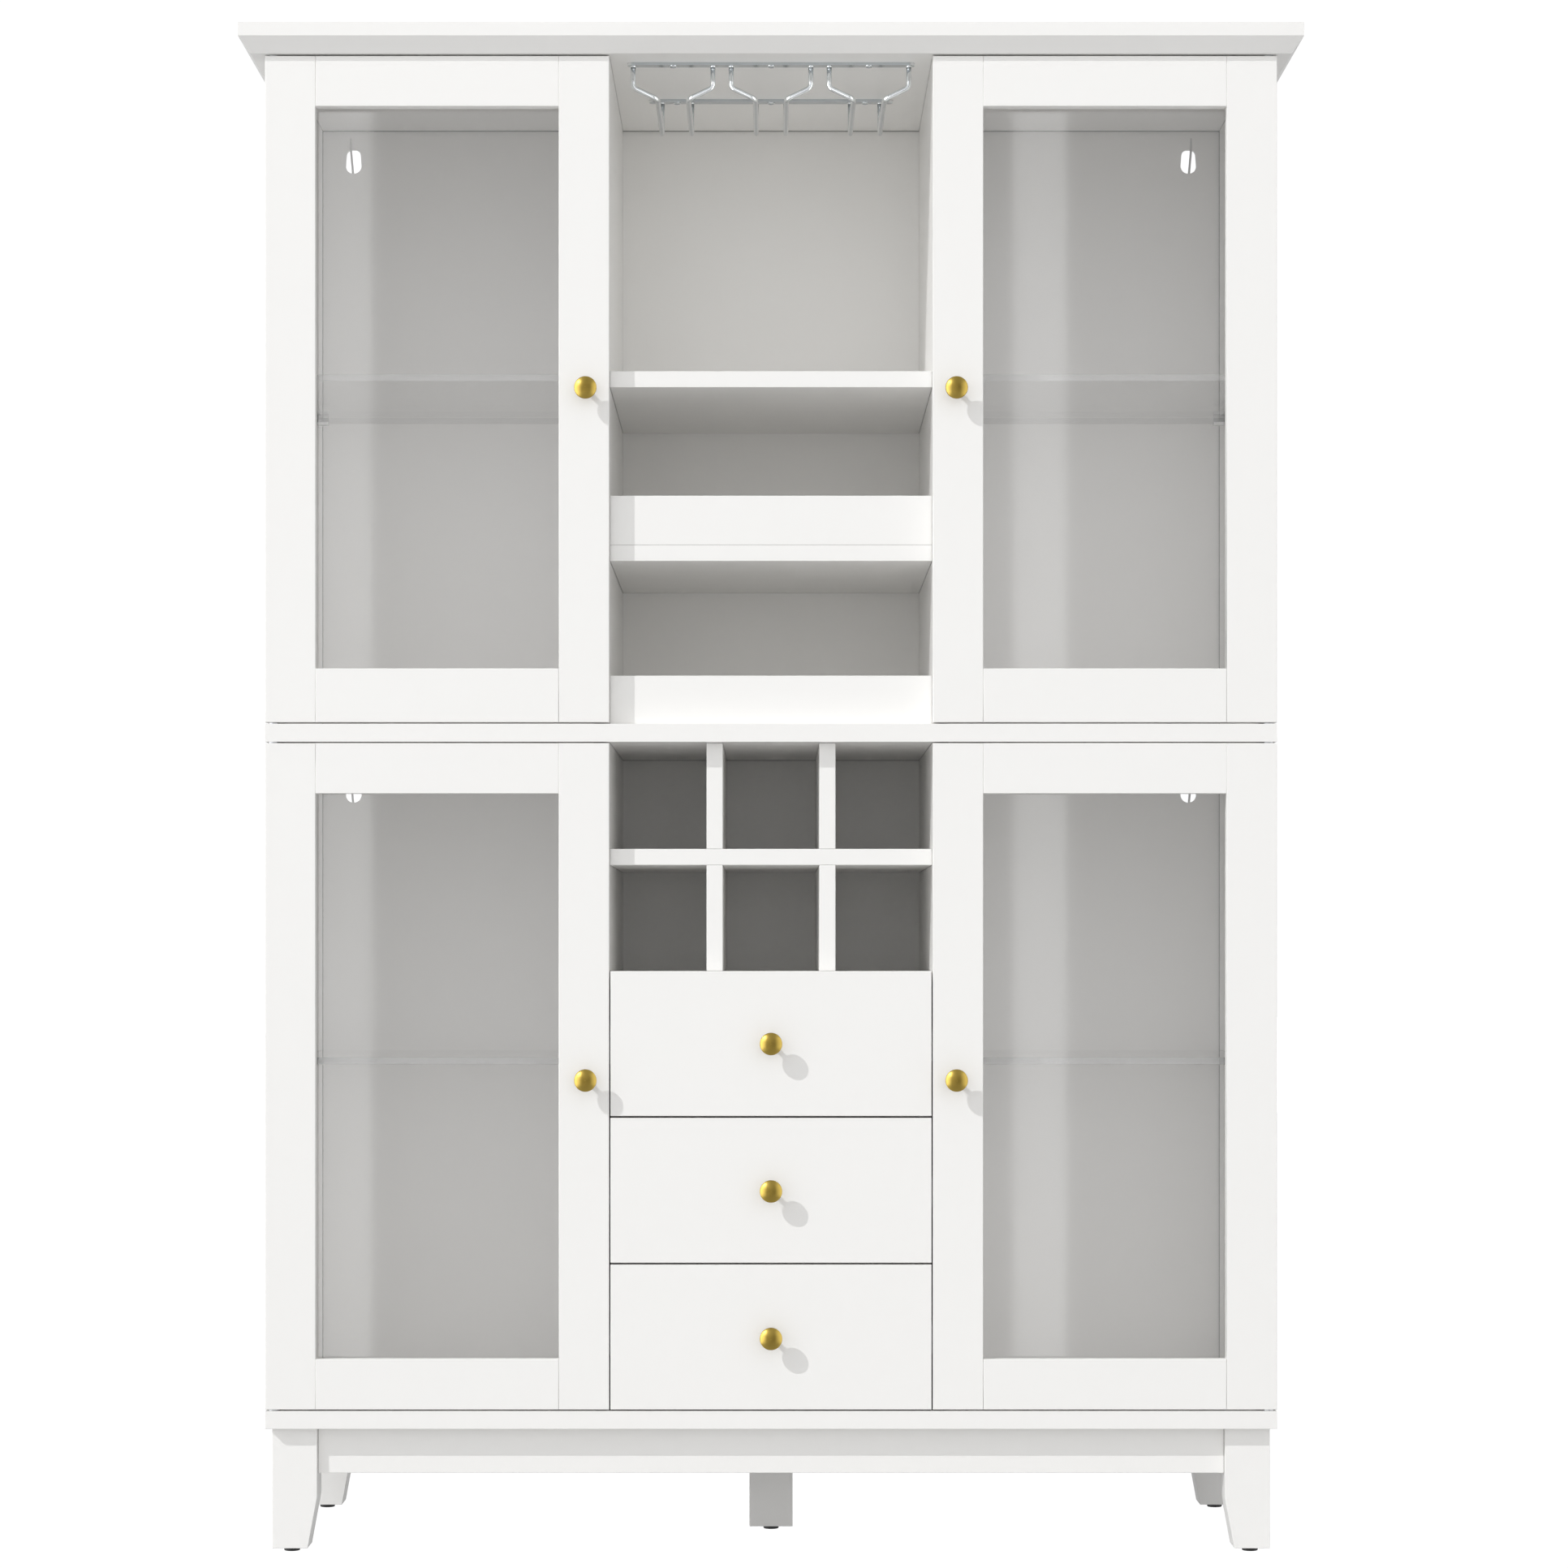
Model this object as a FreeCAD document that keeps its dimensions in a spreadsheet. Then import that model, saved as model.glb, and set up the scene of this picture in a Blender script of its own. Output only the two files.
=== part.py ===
"""A white wine cabinet: four glass doors, an open bar bay, a wine rack and three drawers.

Millimetres. The floor is Z = 0, the cabinet faces -Y, X = 0 is its centre line and
Y = 0 is half way through the depth of its body.
"""
import FreeCAD
import Part
import Sketcher
import math
import os
from types import SimpleNamespace

DRIVING_SIZES = {
    # Body
    "body_width": 1125,
    "body_depth": 400,
    "panel": 18,
    "board": 20,
    "upper_height": 744,
    "lower_height": 744,
    "bay_width": 360,
    "back_thick": 5,
    "back_inset": 5,
    "groove_depth": 5,
    "groove_clear": 0.2,
    "groove_front": 3,
    # Crown
    "crown_height": 32,
    "crown_side": 28,
    "crown_front": 17.5,
    "crown_bevel_drop": 17,
    "crown_bevel_inset": 12.3,
    # Base
    "glide_height": 5,
    "glide_radius": 9.6,
    "glide_tip_radius": 8.7,
    "leg_height": 135,
    "leg_width": 50,
    "leg_depth": 42,
    "leg_side_inset": 6,
    "leg_front_inset": 15,
    "leg_back_inset": 5,
    "leg_taper_height": 57,
    "leg_taper": 10.5,
    "apron_height": 52,
    "apron_thick": 18,
    "apron_inset": 9,
    # Bar bay
    "display_shelf_rise": 377,
    "bottle_shelf_rise": 183,
    "lip_height": 55,
    "lip_thick": 18,
    # Wine rack
    "cell_height": 118.5,
    # Fronts
    "front_thick": 18,
    "front_gap": 2,
    "reveal": 1.5,
    "drawer_gap": 2,
    "edge_ease": 0.6,
    # Doors
    "stile": 56,
    "rail": 56,
    "upper_bottom_rail": 60,
    "glass_thick": 4,
    "glass_lap": 8,
    "glass_clear": 1,
    "pivot_inset": 9,
    "pivot_radius": 3,
    "pivot_seat": 8,
    "pivot_reach": 14,
    "pivot_clear": 0.05,
    "collar_radius": 6,
    "collar_clear": 0.3,
    "hinge_round": 7,
    "clip_length": 20,
    "clip_width": 12,
    "clip_thick": 1.2,
    "clip_lap": 5,
    "clip_end": 150,
    "strike_length": 36,
    "strike_width": 12,
    "catch_depth": 28,
    "catch_clear": 0.3,
    "catch_drop": 60,
    # Knobs
    "knob_radius": 12.5,
    "knob_half_thick": 5.9,
    "knob_rim": 2.8,
    "knob_reach": 19,
    "stem_radius": 2.8,
    "foot_radius": 5,
    "foot_height": 1.5,
    "screw_radius": 1.5,
    "screw_head_radius": 3.5,
    "screw_head_height": 1.6,
    "screw_reach": 8,
    "screw_clear": 0.1,
    "knob_inset": 25.5,
    "upper_knob_rise": 369.5,
    "lower_knob_rise": 366.5,
    # Drawers
    "box_side": 12,
    "box_headroom": 11,
    "box_rise": 22,
    "box_depth": 345,
    "box_bottom": 5,
    "box_bottom_rise": 10,
    "box_groove": 5,
    "runner_space": 12.5,
    "runner_height": 35,
    "runner_gauge": 1.2,
    "runner_lip": 9,
    "runner_clear": 0.3,
    "runner_length": 340,
    "runner_setback": 3,
    # Glass shelves
    "shelf_glass": 8,
    "shelf_setback": 28,
    "shelf_gap": 1,
    "shelf_back_gap": 2,
    "upper_shelf_rise": 388,
    "lower_shelf_rise": 384,
    "support_reach": 13,
    "support_width": 12,
    "support_height": 8,
    "support_front": 69,
    "support_back": 50,
    "peg_radius": 2.5,
    "peg_length": 8,
    "peg_clear": 0.1,
    # Stemware rack
    "rail_pitch": 110,
    "wire_radius": 2.5,
    "foot_gap": 89.4,
    "stem_gap": 34.6,
    "shoulder_drop": 27,
    "rail_drop": 40,
    "wire_bend": 7,
    "bar_width": 12,
    "bar_thick": 3,
    "front_bar": 322,
    "rear_bar": 285,
    "bar_setback": 23,
    "bar_spacing": 182,
    "rack_screw_radius": 3.5,
    "rack_screw_height": 1.8,
    "rack_shank_radius": 1.5,
    "rack_shank": 12,
    # Wall slots and straps
    "slot_top": 16,
    "slot_bottom": 20.5,
    "slot_height": 28.5,
    "slot_low_round": 9.2,
    "slot_high_round": 6.5,
    "slot_inset": 37.5,
    "slot_drop": 37,
    "strap_width": 2.6,
    "strap_tip": 1.2,
    "strap_low_shift": 1.3,
    "strap_high_shift": 3.1,
    "strap_thick": 1,
    "strap_above": 14,
    "strap_below": 12,
    "strap_clear": 0.2,
    "strap_bend": 2,
}


class Size:
    """A length written as an expression on the sheet of driving sizes."""

    def __init__(self, text):
        self.text = text

    def __str__(self):
        return self.text

    def __add__(self, other):
        return Size(f"({self} + {other})")

    def __sub__(self, other):
        return Size(f"({self} - {other})")

    def __mul__(self, other):
        return Size(f"({self} * {other})")

    def __truediv__(self, other):
        return Size(f"({self} / {other})")

    def __neg__(self):
        return Size(f"(0 - {self})")


doc = FreeCAD.newDocument("WineCabinet")
sheet = doc.addObject("Spreadsheet::Sheet", "Sizes")
for row, (alias, number) in enumerate(DRIVING_SIZES.items(), start=1):
    sheet.set(f"A{row}", alias)
    sheet.set(f"B{row}", str(number))
    sheet.setAlias(f"B{row}", alias)
doc.recompute()
size = SimpleNamespace(**{alias: Size(f"Sizes.{alias}") for alias in DRIVING_SIZES})
sub_parts = []


def value(length):
    """The number that a length has now."""
    return float(sheet.evalExpression(str(length)))


def bind(thing, lengths):
    """Tie properties of an object to lengths."""
    for name, length in lengths.items():
        thing.setExpression(name, str(length))


def place(thing, x, y, z):
    bind(thing, {"Placement.Base.x": x, "Placement.Base.y": y, "Placement.Base.z": z})


def keep(label, thing):
    """Give a finished sub-part the label that names its file."""
    thing.Label = label
    sub_parts.append(thing)
    return thing


def block(name, x_span, y_span, z_span):
    """A plain board between two lengths along each axis."""
    board = doc.addObject("Part::Box", name)
    bind(board, {
        "Length": Size(str(x_span[1])) - x_span[0],
        "Width": Size(str(y_span[1])) - y_span[0],
        "Height": Size(str(z_span[1])) - z_span[0],
    })
    place(board, x_span[0], y_span[0], z_span[0])
    return board


TURN_TO = {
    "x": FreeCAD.Rotation(FreeCAD.Vector(0, 1, 0), 90),
    "-x": FreeCAD.Rotation(FreeCAD.Vector(0, 1, 0), -90),
    "y": FreeCAD.Rotation(FreeCAD.Vector(1, 0, 0), -90),
    "z": FreeCAD.Rotation(),
}


def rod(name, radius, length, x, y, z, along):
    """A round bar from a point along an axis."""
    bar = doc.addObject("Part::Cylinder", name)
    bar.Placement.Rotation = TURN_TO[along]
    bind(bar, {"Radius": radius, "Height": length})
    place(bar, x, y, z)
    return bar


def group(name, members):
    """Separate solids kept together."""
    bundle = doc.addObject("Part::Compound", name)
    bundle.Links = members
    return bundle


def carve(name, base, tools):
    """A piece with grooves, rebates or bores cut out of it."""
    result = doc.addObject("Part::Cut", name)
    result.Base = base
    result.Tool = tools[0] if len(tools) == 1 else group(f"{name}Tools", tools)
    return result


def weld(name, members):
    """One solid from pieces that are made together."""
    result = doc.addObject("Part::MultiFuse", name)
    result.Shapes = members
    result.Refine = True
    return result


def overlap(name, members):
    """The stretch that all of the pieces share."""
    result = doc.addObject("Part::MultiCommon", name)
    result.Shapes = members
    return result


def mirror(name, source):
    """The left-hand twin of a right-hand piece."""
    twin = doc.addObject("Part::Mirroring", name)
    twin.Source = source
    twin.Normal = FreeCAD.Vector(1, 0, 0)
    return twin


def pair(name, source):
    return group(name, [source, mirror(f"{name}Left", source)])


def sketch_on(body, name, plane_role, origin):
    """An empty sketch on one of a body's own planes, moved to an origin on it."""
    sketch = body.newObject("Sketcher::SketchObject", name)
    plane = [feature for feature in body.Origin.OriginFeatures if feature.Role == plane_role][0]
    sketch.AttachmentSupport = [(plane, "")]
    sketch.MapMode = "FlatFace"
    bind(sketch, {f"AttachmentOffset.Base.{axis}": length for axis, length in zip("xyz", origin)})
    return sketch


def end_number(sketch, edge, corner):
    """Which end of a sketch edge lies at a corner: 1 for its start and 2 for its end."""
    starts_there = (sketch.getPoint(edge, 1) - corner).Length < 1e-6
    return 1 if starts_there else 2


def draw(sketch, corners, arcs=None):
    """A closed outline with every corner held by its own two lengths.

    arcs maps the number of a corner to the radius of the round stretch that starts there
    and to a point that the stretch passes through.
    """
    arcs = arcs or {}
    count = len(corners)
    points = [FreeCAD.Vector(value(x), value(y), 0) for x, y in corners]
    for number in range(count):
        start, end = points[number], points[(number + 1) % count]
        if number in arcs:
            through = FreeCAD.Vector(value(arcs[number][1][0]), value(arcs[number][1][1]), 0)
            sketch.addGeometry(Part.Arc(start, through, end), False)
        else:
            sketch.addGeometry(Part.LineSegment(start, end), False)
    for number in range(count):
        after = (number + 1) % count
        sketch.addConstraint(Sketcher.Constraint(
            "Coincident", number, end_number(sketch, number, points[after]),
            after, end_number(sketch, after, points[after])))
    for number, corner in enumerate(corners):
        for rule, length in zip(("DistanceX", "DistanceY"), corner):
            which = end_number(sketch, number, points[number])
            hold = Sketcher.Constraint(rule, -1, 1, number, which, value(length))
            sketch.setExpression(f"Constraints[{sketch.addConstraint(hold)}]", str(length))
    for number, (radius, _) in arcs.items():
        hold = Sketcher.Constraint("Radius", number, value(radius))
        sketch.setExpression(f"Constraints[{sketch.addConstraint(hold)}]", str(radius))


def extrude(name, plane_role, origin, length, corners, arcs=None):
    """A body padded from an outline, along the normal of its plane."""
    body = doc.addObject("PartDesign::Body", name)
    outline = sketch_on(body, f"{name}Outline", plane_role, origin)
    draw(outline, corners, arcs)
    pad = body.newObject("PartDesign::Pad", f"{name}Pad")
    pad.Profile = outline
    bind(pad, {"Length": length})
    doc.recompute()
    return body


def turn(name, plane_role, origin, corners, arcs=None):
    """A body turned about the vertical axis of its sketch."""
    body = doc.addObject("PartDesign::Body", name)
    outline = sketch_on(body, f"{name}Outline", plane_role, origin)
    draw(outline, corners, arcs)
    lathe = body.newObject("PartDesign::Revolution", f"{name}Turned")
    lathe.Profile = outline
    lathe.ReferenceAxis = (outline, ["V_Axis"])
    lathe.Angle = 360
    doc.recompute()
    return body


def edges_where(shape, test):
    """The names of the edges whose two ends, and so whose length, pass a test."""
    names = []
    for number, edge in enumerate(shape.Edges, start=1):
        if all(test(vertex.Point) for vertex in edge.Vertexes):
            names.append(f"Edge{number}")
    return names


def near(first, length):
    return abs(first - value(length)) < 1e-4


def ease_front(body, depth):
    """Take the sharpness off the edges of the face that looks forwards."""
    tip = body.Tip
    chamfer = body.newObject("PartDesign::Chamfer", f"{body.Name}Eased")
    chamfer.Base = (tip, edges_where(tip.Shape, lambda point: near(point.y, depth)))
    bind(chamfer, {"Size": size.edge_ease})
    doc.recompute()
    return body


zero = Size("0")

# Places that several pieces share
half_width = size.body_width / 2
front = -size.body_depth / 2
rear = size.body_depth / 2
front_back = front + size.front_thick
carcass_front = front_back + size.front_gap
back_rear = rear - size.back_inset
back_front = back_rear - size.back_thick
side_inner = half_width - size.panel
bay_half = size.bay_width / 2
divider_outer = bay_half + size.panel
groove_end = side_inner + size.groove_depth
groove_span = (back_front - size.groove_front, back_rear)

bottom_low = size.glide_height + size.leg_height
bottom_top = bottom_low + size.board
mid_low = bottom_top + size.lower_height
mid_top = mid_low + size.board
crown_low = mid_top + size.upper_height

pivot_x = half_width - size.pivot_inset
pivot_y = front + size.front_thick / 2
bore_radius = size.pivot_radius + size.pivot_clear
knob_x = bay_half + size.knob_inset
rack_front = carcass_front + size.bar_setback
rack_rear = rack_front + size.bar_spacing
bar_low = crown_low - size.bar_thick
full_width = (-half_width, half_width)
full_depth = (front, rear)
bay_span = (-bay_half, bay_half)
inner_depth = (carcass_front, back_front)


# Crown: a thick top board, bevelled under its front and ends, with sharp mitred corners
def make_crown():
    reach = half_width + size.crown_side
    face = front - size.crown_front
    corners = [(-reach, rear), (-reach, face), (reach, face), (reach, rear)]
    body = extrude("Crown", "XY_Plane", (zero, zero, crown_low), size.crown_height, corners)
    pad = body.Tip
    names = edges_where(pad.Shape, lambda point: near(point.z, crown_low))
    names = [name for name in names if not near(pad.Shape.getElement(name).CenterOfMass.y, rear)]
    bevel = body.newObject("PartDesign::Chamfer", "CrownBevel")
    bevel.Base = (pad, names)
    bevel.ChamferType = "Two distances"
    bind(bevel, {"Size": size.crown_bevel_drop, "Size2": size.crown_bevel_inset})
    doc.recompute()
    tools = [
        block("CrownGroove", (-groove_end, groove_end), groove_span,
              (crown_low, crown_low + size.groove_depth)),
    ]
    for side, x in (("Right", pivot_x), ("Left", -pivot_x)):
        tools.append(rod(f"CrownBore{side}", bore_radius, size.pivot_seat, x, pivot_y, crown_low, "z"))
    for number in (-1, 0, 1):
        for bar, depth in (("Front", rack_front), ("Rear", rack_rear)):
            tools.append(rod(f"CrownPilot{bar}{number + 2}", size.rack_shank_radius + size.screw_clear,
                             size.rack_shank, size.rail_pitch * number, depth, crown_low, "z"))
    return carve("CrownBoard", body, tools)


# Boards that run the full width between the two storeys and under the lower one
def make_board(name, low, grooved_above, grooved_below):
    high = low + size.board
    tools = []
    for above, wanted in ((True, grooved_above), (False, grooved_below)):
        if not wanted:
            continue
        groove_z = (high - size.groove_depth, high) if above else (low, low + size.groove_depth)
        bore_z = high - size.pivot_seat if above else low
        label = f"{name}{'Above' if above else 'Below'}"
        tools.append(block(f"{label}Groove", (-groove_end, groove_end), groove_span, groove_z))
        for side, x in (("Right", pivot_x), ("Left", -pivot_x)):
            tools.append(rod(f"{label}Bore{side}", bore_radius, size.pivot_seat, x, pivot_y, bore_z, "z"))
    return carve(name, block(f"{name}Blank", full_width, full_depth, (low, high)), tools)


def peg_places(floor, rise):
    """The depth and height of the pegs that carry a glass shelf, front and back."""
    height = floor + rise - size.support_height / 2
    return ((carcass_front + size.support_front, height), (back_front - size.support_back, height))


def make_panel(name, x_span, y_span, z_span, face_x, along, pegs, groove):
    """A side or divider, bored for the pegs of its glass shelf and grooved for the back."""
    tools = []
    for number, (depth, height) in enumerate(pegs):
        tools.append(rod(f"{name}Bore{number}", size.peg_radius + size.peg_clear,
                         size.peg_length + size.peg_clear, face_x, depth, height, along))
    if groove:
        tools.append(block(f"{name}Groove", (side_inner, groove_end), groove_span, z_span))
    return carve(name, block(f"{name}Blank", x_span, y_span, z_span), tools)


keep("crown", make_crown())
keep("mid_board", make_board("MidBoard", mid_low, True, True))
keep("bottom_board", make_board("BottomBoard", bottom_low, True, False))

storeys = {
    "upper": SimpleNamespace(
        floor=mid_top, ceiling=crown_low, shelf_rise=size.upper_shelf_rise,
        bottom_rail=size.upper_bottom_rail, knob_rise=size.upper_knob_rise),
    "lower": SimpleNamespace(
        floor=bottom_top, ceiling=mid_low, shelf_rise=size.lower_shelf_rise,
        bottom_rail=size.rail, knob_rise=size.lower_knob_rise),
}

for storey, level in storeys.items():
    title = storey.title()
    z_span = (level.floor, level.ceiling)
    pegs = peg_places(level.floor, level.shelf_rise)
    side = make_panel(f"{title}Side", (side_inner, half_width), (carcass_front, rear), z_span,
                      side_inner, "x", pegs, True)
    keep(f"{storey}_right_side", side)
    keep(f"{storey}_left_side", mirror(f"{title}SideLeft", side))
    divider = make_panel(f"{title}Divider", (bay_half, divider_outer), inner_depth, z_span,
                         divider_outer, "-x", pegs, False)
    keep(f"{storey}_dividers", pair(f"{title}Dividers", divider))


# Back panels, held in the grooves, each with two wall slots near its upper corners
def make_back(name, level):
    edge = groove_end - size.groove_clear
    low = level.floor - size.groove_depth + size.groove_clear
    high = level.ceiling + size.groove_depth - size.groove_clear
    slot_x = side_inner - size.slot_inset
    slot_low = level.ceiling - size.slot_drop - size.slot_height / 2
    tools = []
    for side, centre in (("Right", slot_x), ("Left", -slot_x)):
        slot = extrude(f"{name}Slot{side}", "XZ_Plane", (zero, zero, -back_rear), size.back_thick, [
            (centre - size.slot_bottom / 2, slot_low),
            (centre + size.slot_bottom / 2, slot_low),
            (centre + size.slot_top / 2, slot_low + size.slot_height),
            (centre - size.slot_top / 2, slot_low + size.slot_height),
        ])
        for corner_z, across, radius in (
            (slot_low, size.slot_bottom, size.slot_low_round),
            (slot_low + size.slot_height, size.slot_top, size.slot_high_round),
        ):
            before = slot.Tip
            corners = []
            for x in (centre - across / 2, centre + across / 2):
                corners += edges_where(before.Shape, lambda point: near(point.x, x) and near(point.z, corner_z))
            rounding = slot.newObject("PartDesign::Fillet", f"{name}SlotRound{side}")
            rounding.Base = (before, corners)
            bind(rounding, {"Radius": radius})
            doc.recompute()
        tools.append(slot)
    blank = block(f"{name}Blank", (-edge, edge), (back_front, back_rear), (low, high))
    return carve(name, blank, tools)


# Straps that tie the cabinet to a wall, laced through the slots from front to back
def make_strap(name, level):
    slot_x = side_inner - size.slot_inset
    middle = level.ceiling - size.slot_drop
    slot_high = middle + size.slot_height / 2
    slot_low = middle - size.slot_height / 2
    near_face = back_front - size.strap_clear
    far_face = back_rear + size.strap_clear
    thick, bend = size.strap_thick, size.strap_bend
    high = slot_high + size.strap_above
    low = slot_low - size.strap_below
    beside_slot = (zero, zero, slot_x - size.slot_bottom / 2)
    seen_from_side = extrude(f"{name}Side", "YZ_Plane", beside_slot, size.slot_bottom, [
        (near_face - thick, high),
        (near_face - thick, slot_high - bend),
        (far_face, slot_low + bend),
        (far_face, low),
        (far_face + thick, low),
        (far_face + thick, slot_low + bend + thick),
        (near_face, slot_high - bend + thick),
        (near_face, high),
    ])
    half, tip = size.strap_width / 2, size.strap_tip / 2
    foot_x = slot_x + size.strap_low_shift
    head_x = slot_x + size.strap_high_shift
    behind_panel = (zero, zero, -(far_face + thick))
    seen_from_front = extrude(f"{name}Front", "XZ_Plane", behind_panel, far_face - near_face + thick * 2, [
        (foot_x - half, low),
        (foot_x + half, low),
        (foot_x + half, slot_low),
        (head_x + half, slot_high),
        (head_x + tip, high),
        (head_x - tip, high),
        (head_x - half, slot_high),
        (foot_x - half, slot_low),
    ])
    return overlap(name, [seen_from_side, seen_from_front])


straps = []
for storey, level in storeys.items():
    title = storey.title()
    keep(f"{storey}_back_panel", make_back(f"{title}Back", level))
    strap = make_strap(f"{title}Strap", level)
    straps += [strap, mirror(f"{title}StrapLeft", strap)]
keep("anti_tip_straps", group("AntiTipStraps", straps))


# Bar bay: a display shelf, a bottle shelf and two lips that keep bottles in
display_low = mid_top + size.display_shelf_rise
bottle_low = mid_top + size.bottle_shelf_rise
bottle_top = bottle_low + size.panel
lip_depth = (carcass_front, carcass_front + size.lip_thick)
keep("display_shelf", block("DisplayShelf", bay_span, inner_depth, (display_low, display_low + size.panel)))
keep("bottle_shelf", block("BottleShelf", bay_span, inner_depth, (bottle_low, bottle_top)))
keep("bottle_lips", group("BottleLips", [
    block("ShelfLip", bay_span, lip_depth, (bottle_top, bottle_top + size.lip_height)),
    block("BoardLip", bay_span, lip_depth, (mid_top, mid_top + size.lip_height)),
]))

# Wine rack: two rows of three cells
rack_shelf_top = mid_low - size.cell_height
rack_shelf_low = rack_shelf_top - size.panel
rack_base_top = rack_shelf_low - size.cell_height
cell_width = (size.bay_width - size.panel * 2) / 3
upright_span = (cell_width / 2, cell_width / 2 + size.panel)
keep("rack_shelf", block("RackShelf", bay_span, inner_depth, (rack_shelf_low, rack_shelf_top)))
keep("rack_base", block("RackBase", bay_span, inner_depth, (rack_base_top - size.panel, rack_base_top)))
uprights = []
for row, z_span in (("Top", (rack_shelf_top, mid_low)), ("Bottom", (rack_base_top, rack_shelf_low))):
    upright = block(f"{row}Upright", upright_span, inner_depth, z_span)
    uprights += [upright, mirror(f"{row}UprightLeft", upright)]
keep("rack_uprights", group("RackUprights", uprights))


# Base: tapered corner legs, a straight centre leg, an apron and rails, on round glides
leg_outer = half_width - size.leg_side_inset
leg_inner = leg_outer - size.leg_width
leg_front = front + size.leg_front_inset
leg_back = rear - size.leg_back_inset
leg_foot_inner = leg_inner + size.leg_taper


def make_corner_leg(name, far_face):
    return extrude(name, "XZ_Plane", (zero, zero, -far_face), size.leg_depth, [
        (leg_outer, size.glide_height),
        (leg_outer, bottom_low),
        (leg_inner, bottom_low),
        (leg_inner, size.glide_height + size.leg_taper_height),
        (leg_foot_inner, size.glide_height),
    ])


def make_glide(name, x, y):
    """A glide a little narrower where it meets the floor."""
    glide = doc.addObject("Part::Cone", name)
    bind(glide, {
        "Radius1": size.glide_tip_radius,
        "Radius2": size.glide_radius,
        "Height": size.glide_height,
    })
    place(glide, x, y, zero)
    return glide


front_leg = make_corner_leg("FrontLeg", leg_front + size.leg_depth)
back_leg = make_corner_leg("BackLeg", leg_back)
keep("corner_legs", group("CornerLegs", [
    front_leg, mirror("FrontLegLeft", front_leg), back_leg, mirror("BackLegLeft", back_leg)]))
keep("centre_leg", block("CentreLeg", (-size.leg_width / 2, size.leg_width / 2),
                         (-size.leg_depth / 2, size.leg_depth / 2), (size.glide_height, bottom_low)))
apron_z = (bottom_low - size.apron_height, bottom_low)
apron_front = leg_front + size.apron_inset
apron_back = leg_back - size.apron_inset
rail_outer = leg_outer - size.apron_inset
keep("front_apron", block("FrontApron", (-leg_inner, leg_inner),
                          (apron_front, apron_front + size.apron_thick), apron_z))
side_rail = block("SideRail", (rail_outer - size.apron_thick, rail_outer),
                  (leg_front + size.leg_depth, leg_back - size.leg_depth), apron_z)
keep("base_rails", group("BaseRails", [
    block("RearRail", (-leg_inner, leg_inner), (apron_back - size.apron_thick, apron_back), apron_z),
    side_rail, mirror("SideRailLeft", side_rail)]))
foot_x = (leg_outer + leg_foot_inner) / 2
glides = [make_glide("CentreGlide", zero, zero)]
for end, y in (("Front", leg_front + size.leg_depth / 2), ("Back", leg_back - size.leg_depth / 2)):
    glide = make_glide(f"{end}Glide", foot_x, y)
    glides += [glide, mirror(f"{end}GlideLeft", glide)]
keep("glides", group("Glides", glides))


# Stemware rack: two bars screwed under the crown carry six bent wires in three channels


def round_bend_path(points, radius):
    """Straight runs joined by tangent arcs of one radius."""
    edges = []
    start = points[0]
    for before, corner, after in zip(points, points[1:], points[2:]):
        way_in = (corner - before).normalize()
        way_out = (after - corner).normalize()
        half_turn = way_in.getAngle(way_out) / 2
        reach = radius * math.tan(half_turn)
        arc_start = corner - way_in * reach
        arc_end = corner + way_out * reach
        towards_centre = (way_out - way_in).normalize()
        arc_middle = corner + towards_centre * (radius / math.cos(half_turn) - radius)
        edges.append(Part.LineSegment(start, arc_start).toShape())
        edges.append(Part.Arc(arc_start, arc_middle, arc_end).toShape())
        start = arc_end
    edges.append(Part.LineSegment(start, points[-1]).toShape())
    return Part.Wire(edges)


def make_wire(name, channel, hand):
    """A wire: down from the front bar, in towards the stem, back as a rail and up to the rear bar."""
    outer = channel + hand * value(size.foot_gap) / 2
    inner = channel + hand * value(size.stem_gap) / 2
    shoulder = value(crown_low - size.shoulder_drop)
    rail = value(crown_low - size.rail_drop)
    top = value(bar_low)
    points = [
        FreeCAD.Vector(outer, value(rack_front), top),
        FreeCAD.Vector(outer, value(rack_front), shoulder),
        FreeCAD.Vector(inner, value(rack_front), rail),
        FreeCAD.Vector(inner, value(rack_rear), rail),
        FreeCAD.Vector(inner, value(rack_rear), top),
    ]
    path = round_bend_path(points, value(size.wire_bend))
    radius = value(size.wire_radius)
    section = Part.Wire(Part.makeCircle(radius, points[0], FreeCAD.Vector(0, 0, -1)))
    wire = doc.addObject("Part::Feature", name)
    wire.Shape = path.makePipeShell([section], True, False)
    expected = math.pi * radius ** 2 * path.Length
    print(name, "volume over section times length", round(wire.Shape.Volume / expected, 4))
    return wire


wires = []
rack_screws = []
for number in (-1, 0, 1):
    for hand in (-1, 1):
        wires.append(make_wire(f"Wire{number + 2}{'Left' if hand < 0 else 'Right'}",
                               number * value(size.rail_pitch), hand))
    for bar, depth in (("Front", rack_front), ("Rear", rack_rear)):
        x = size.rail_pitch * number
        rack_screws.append(weld(f"RackScrew{bar}{number + 2}", [
            rod(f"RackHead{bar}{number + 2}", size.rack_screw_radius, size.rack_screw_height,
                x, depth, bar_low - size.rack_screw_height, "z"),
            rod(f"RackShank{bar}{number + 2}", size.rack_shank_radius, size.rack_shank,
                x, depth, bar_low, "z")]))


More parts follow.
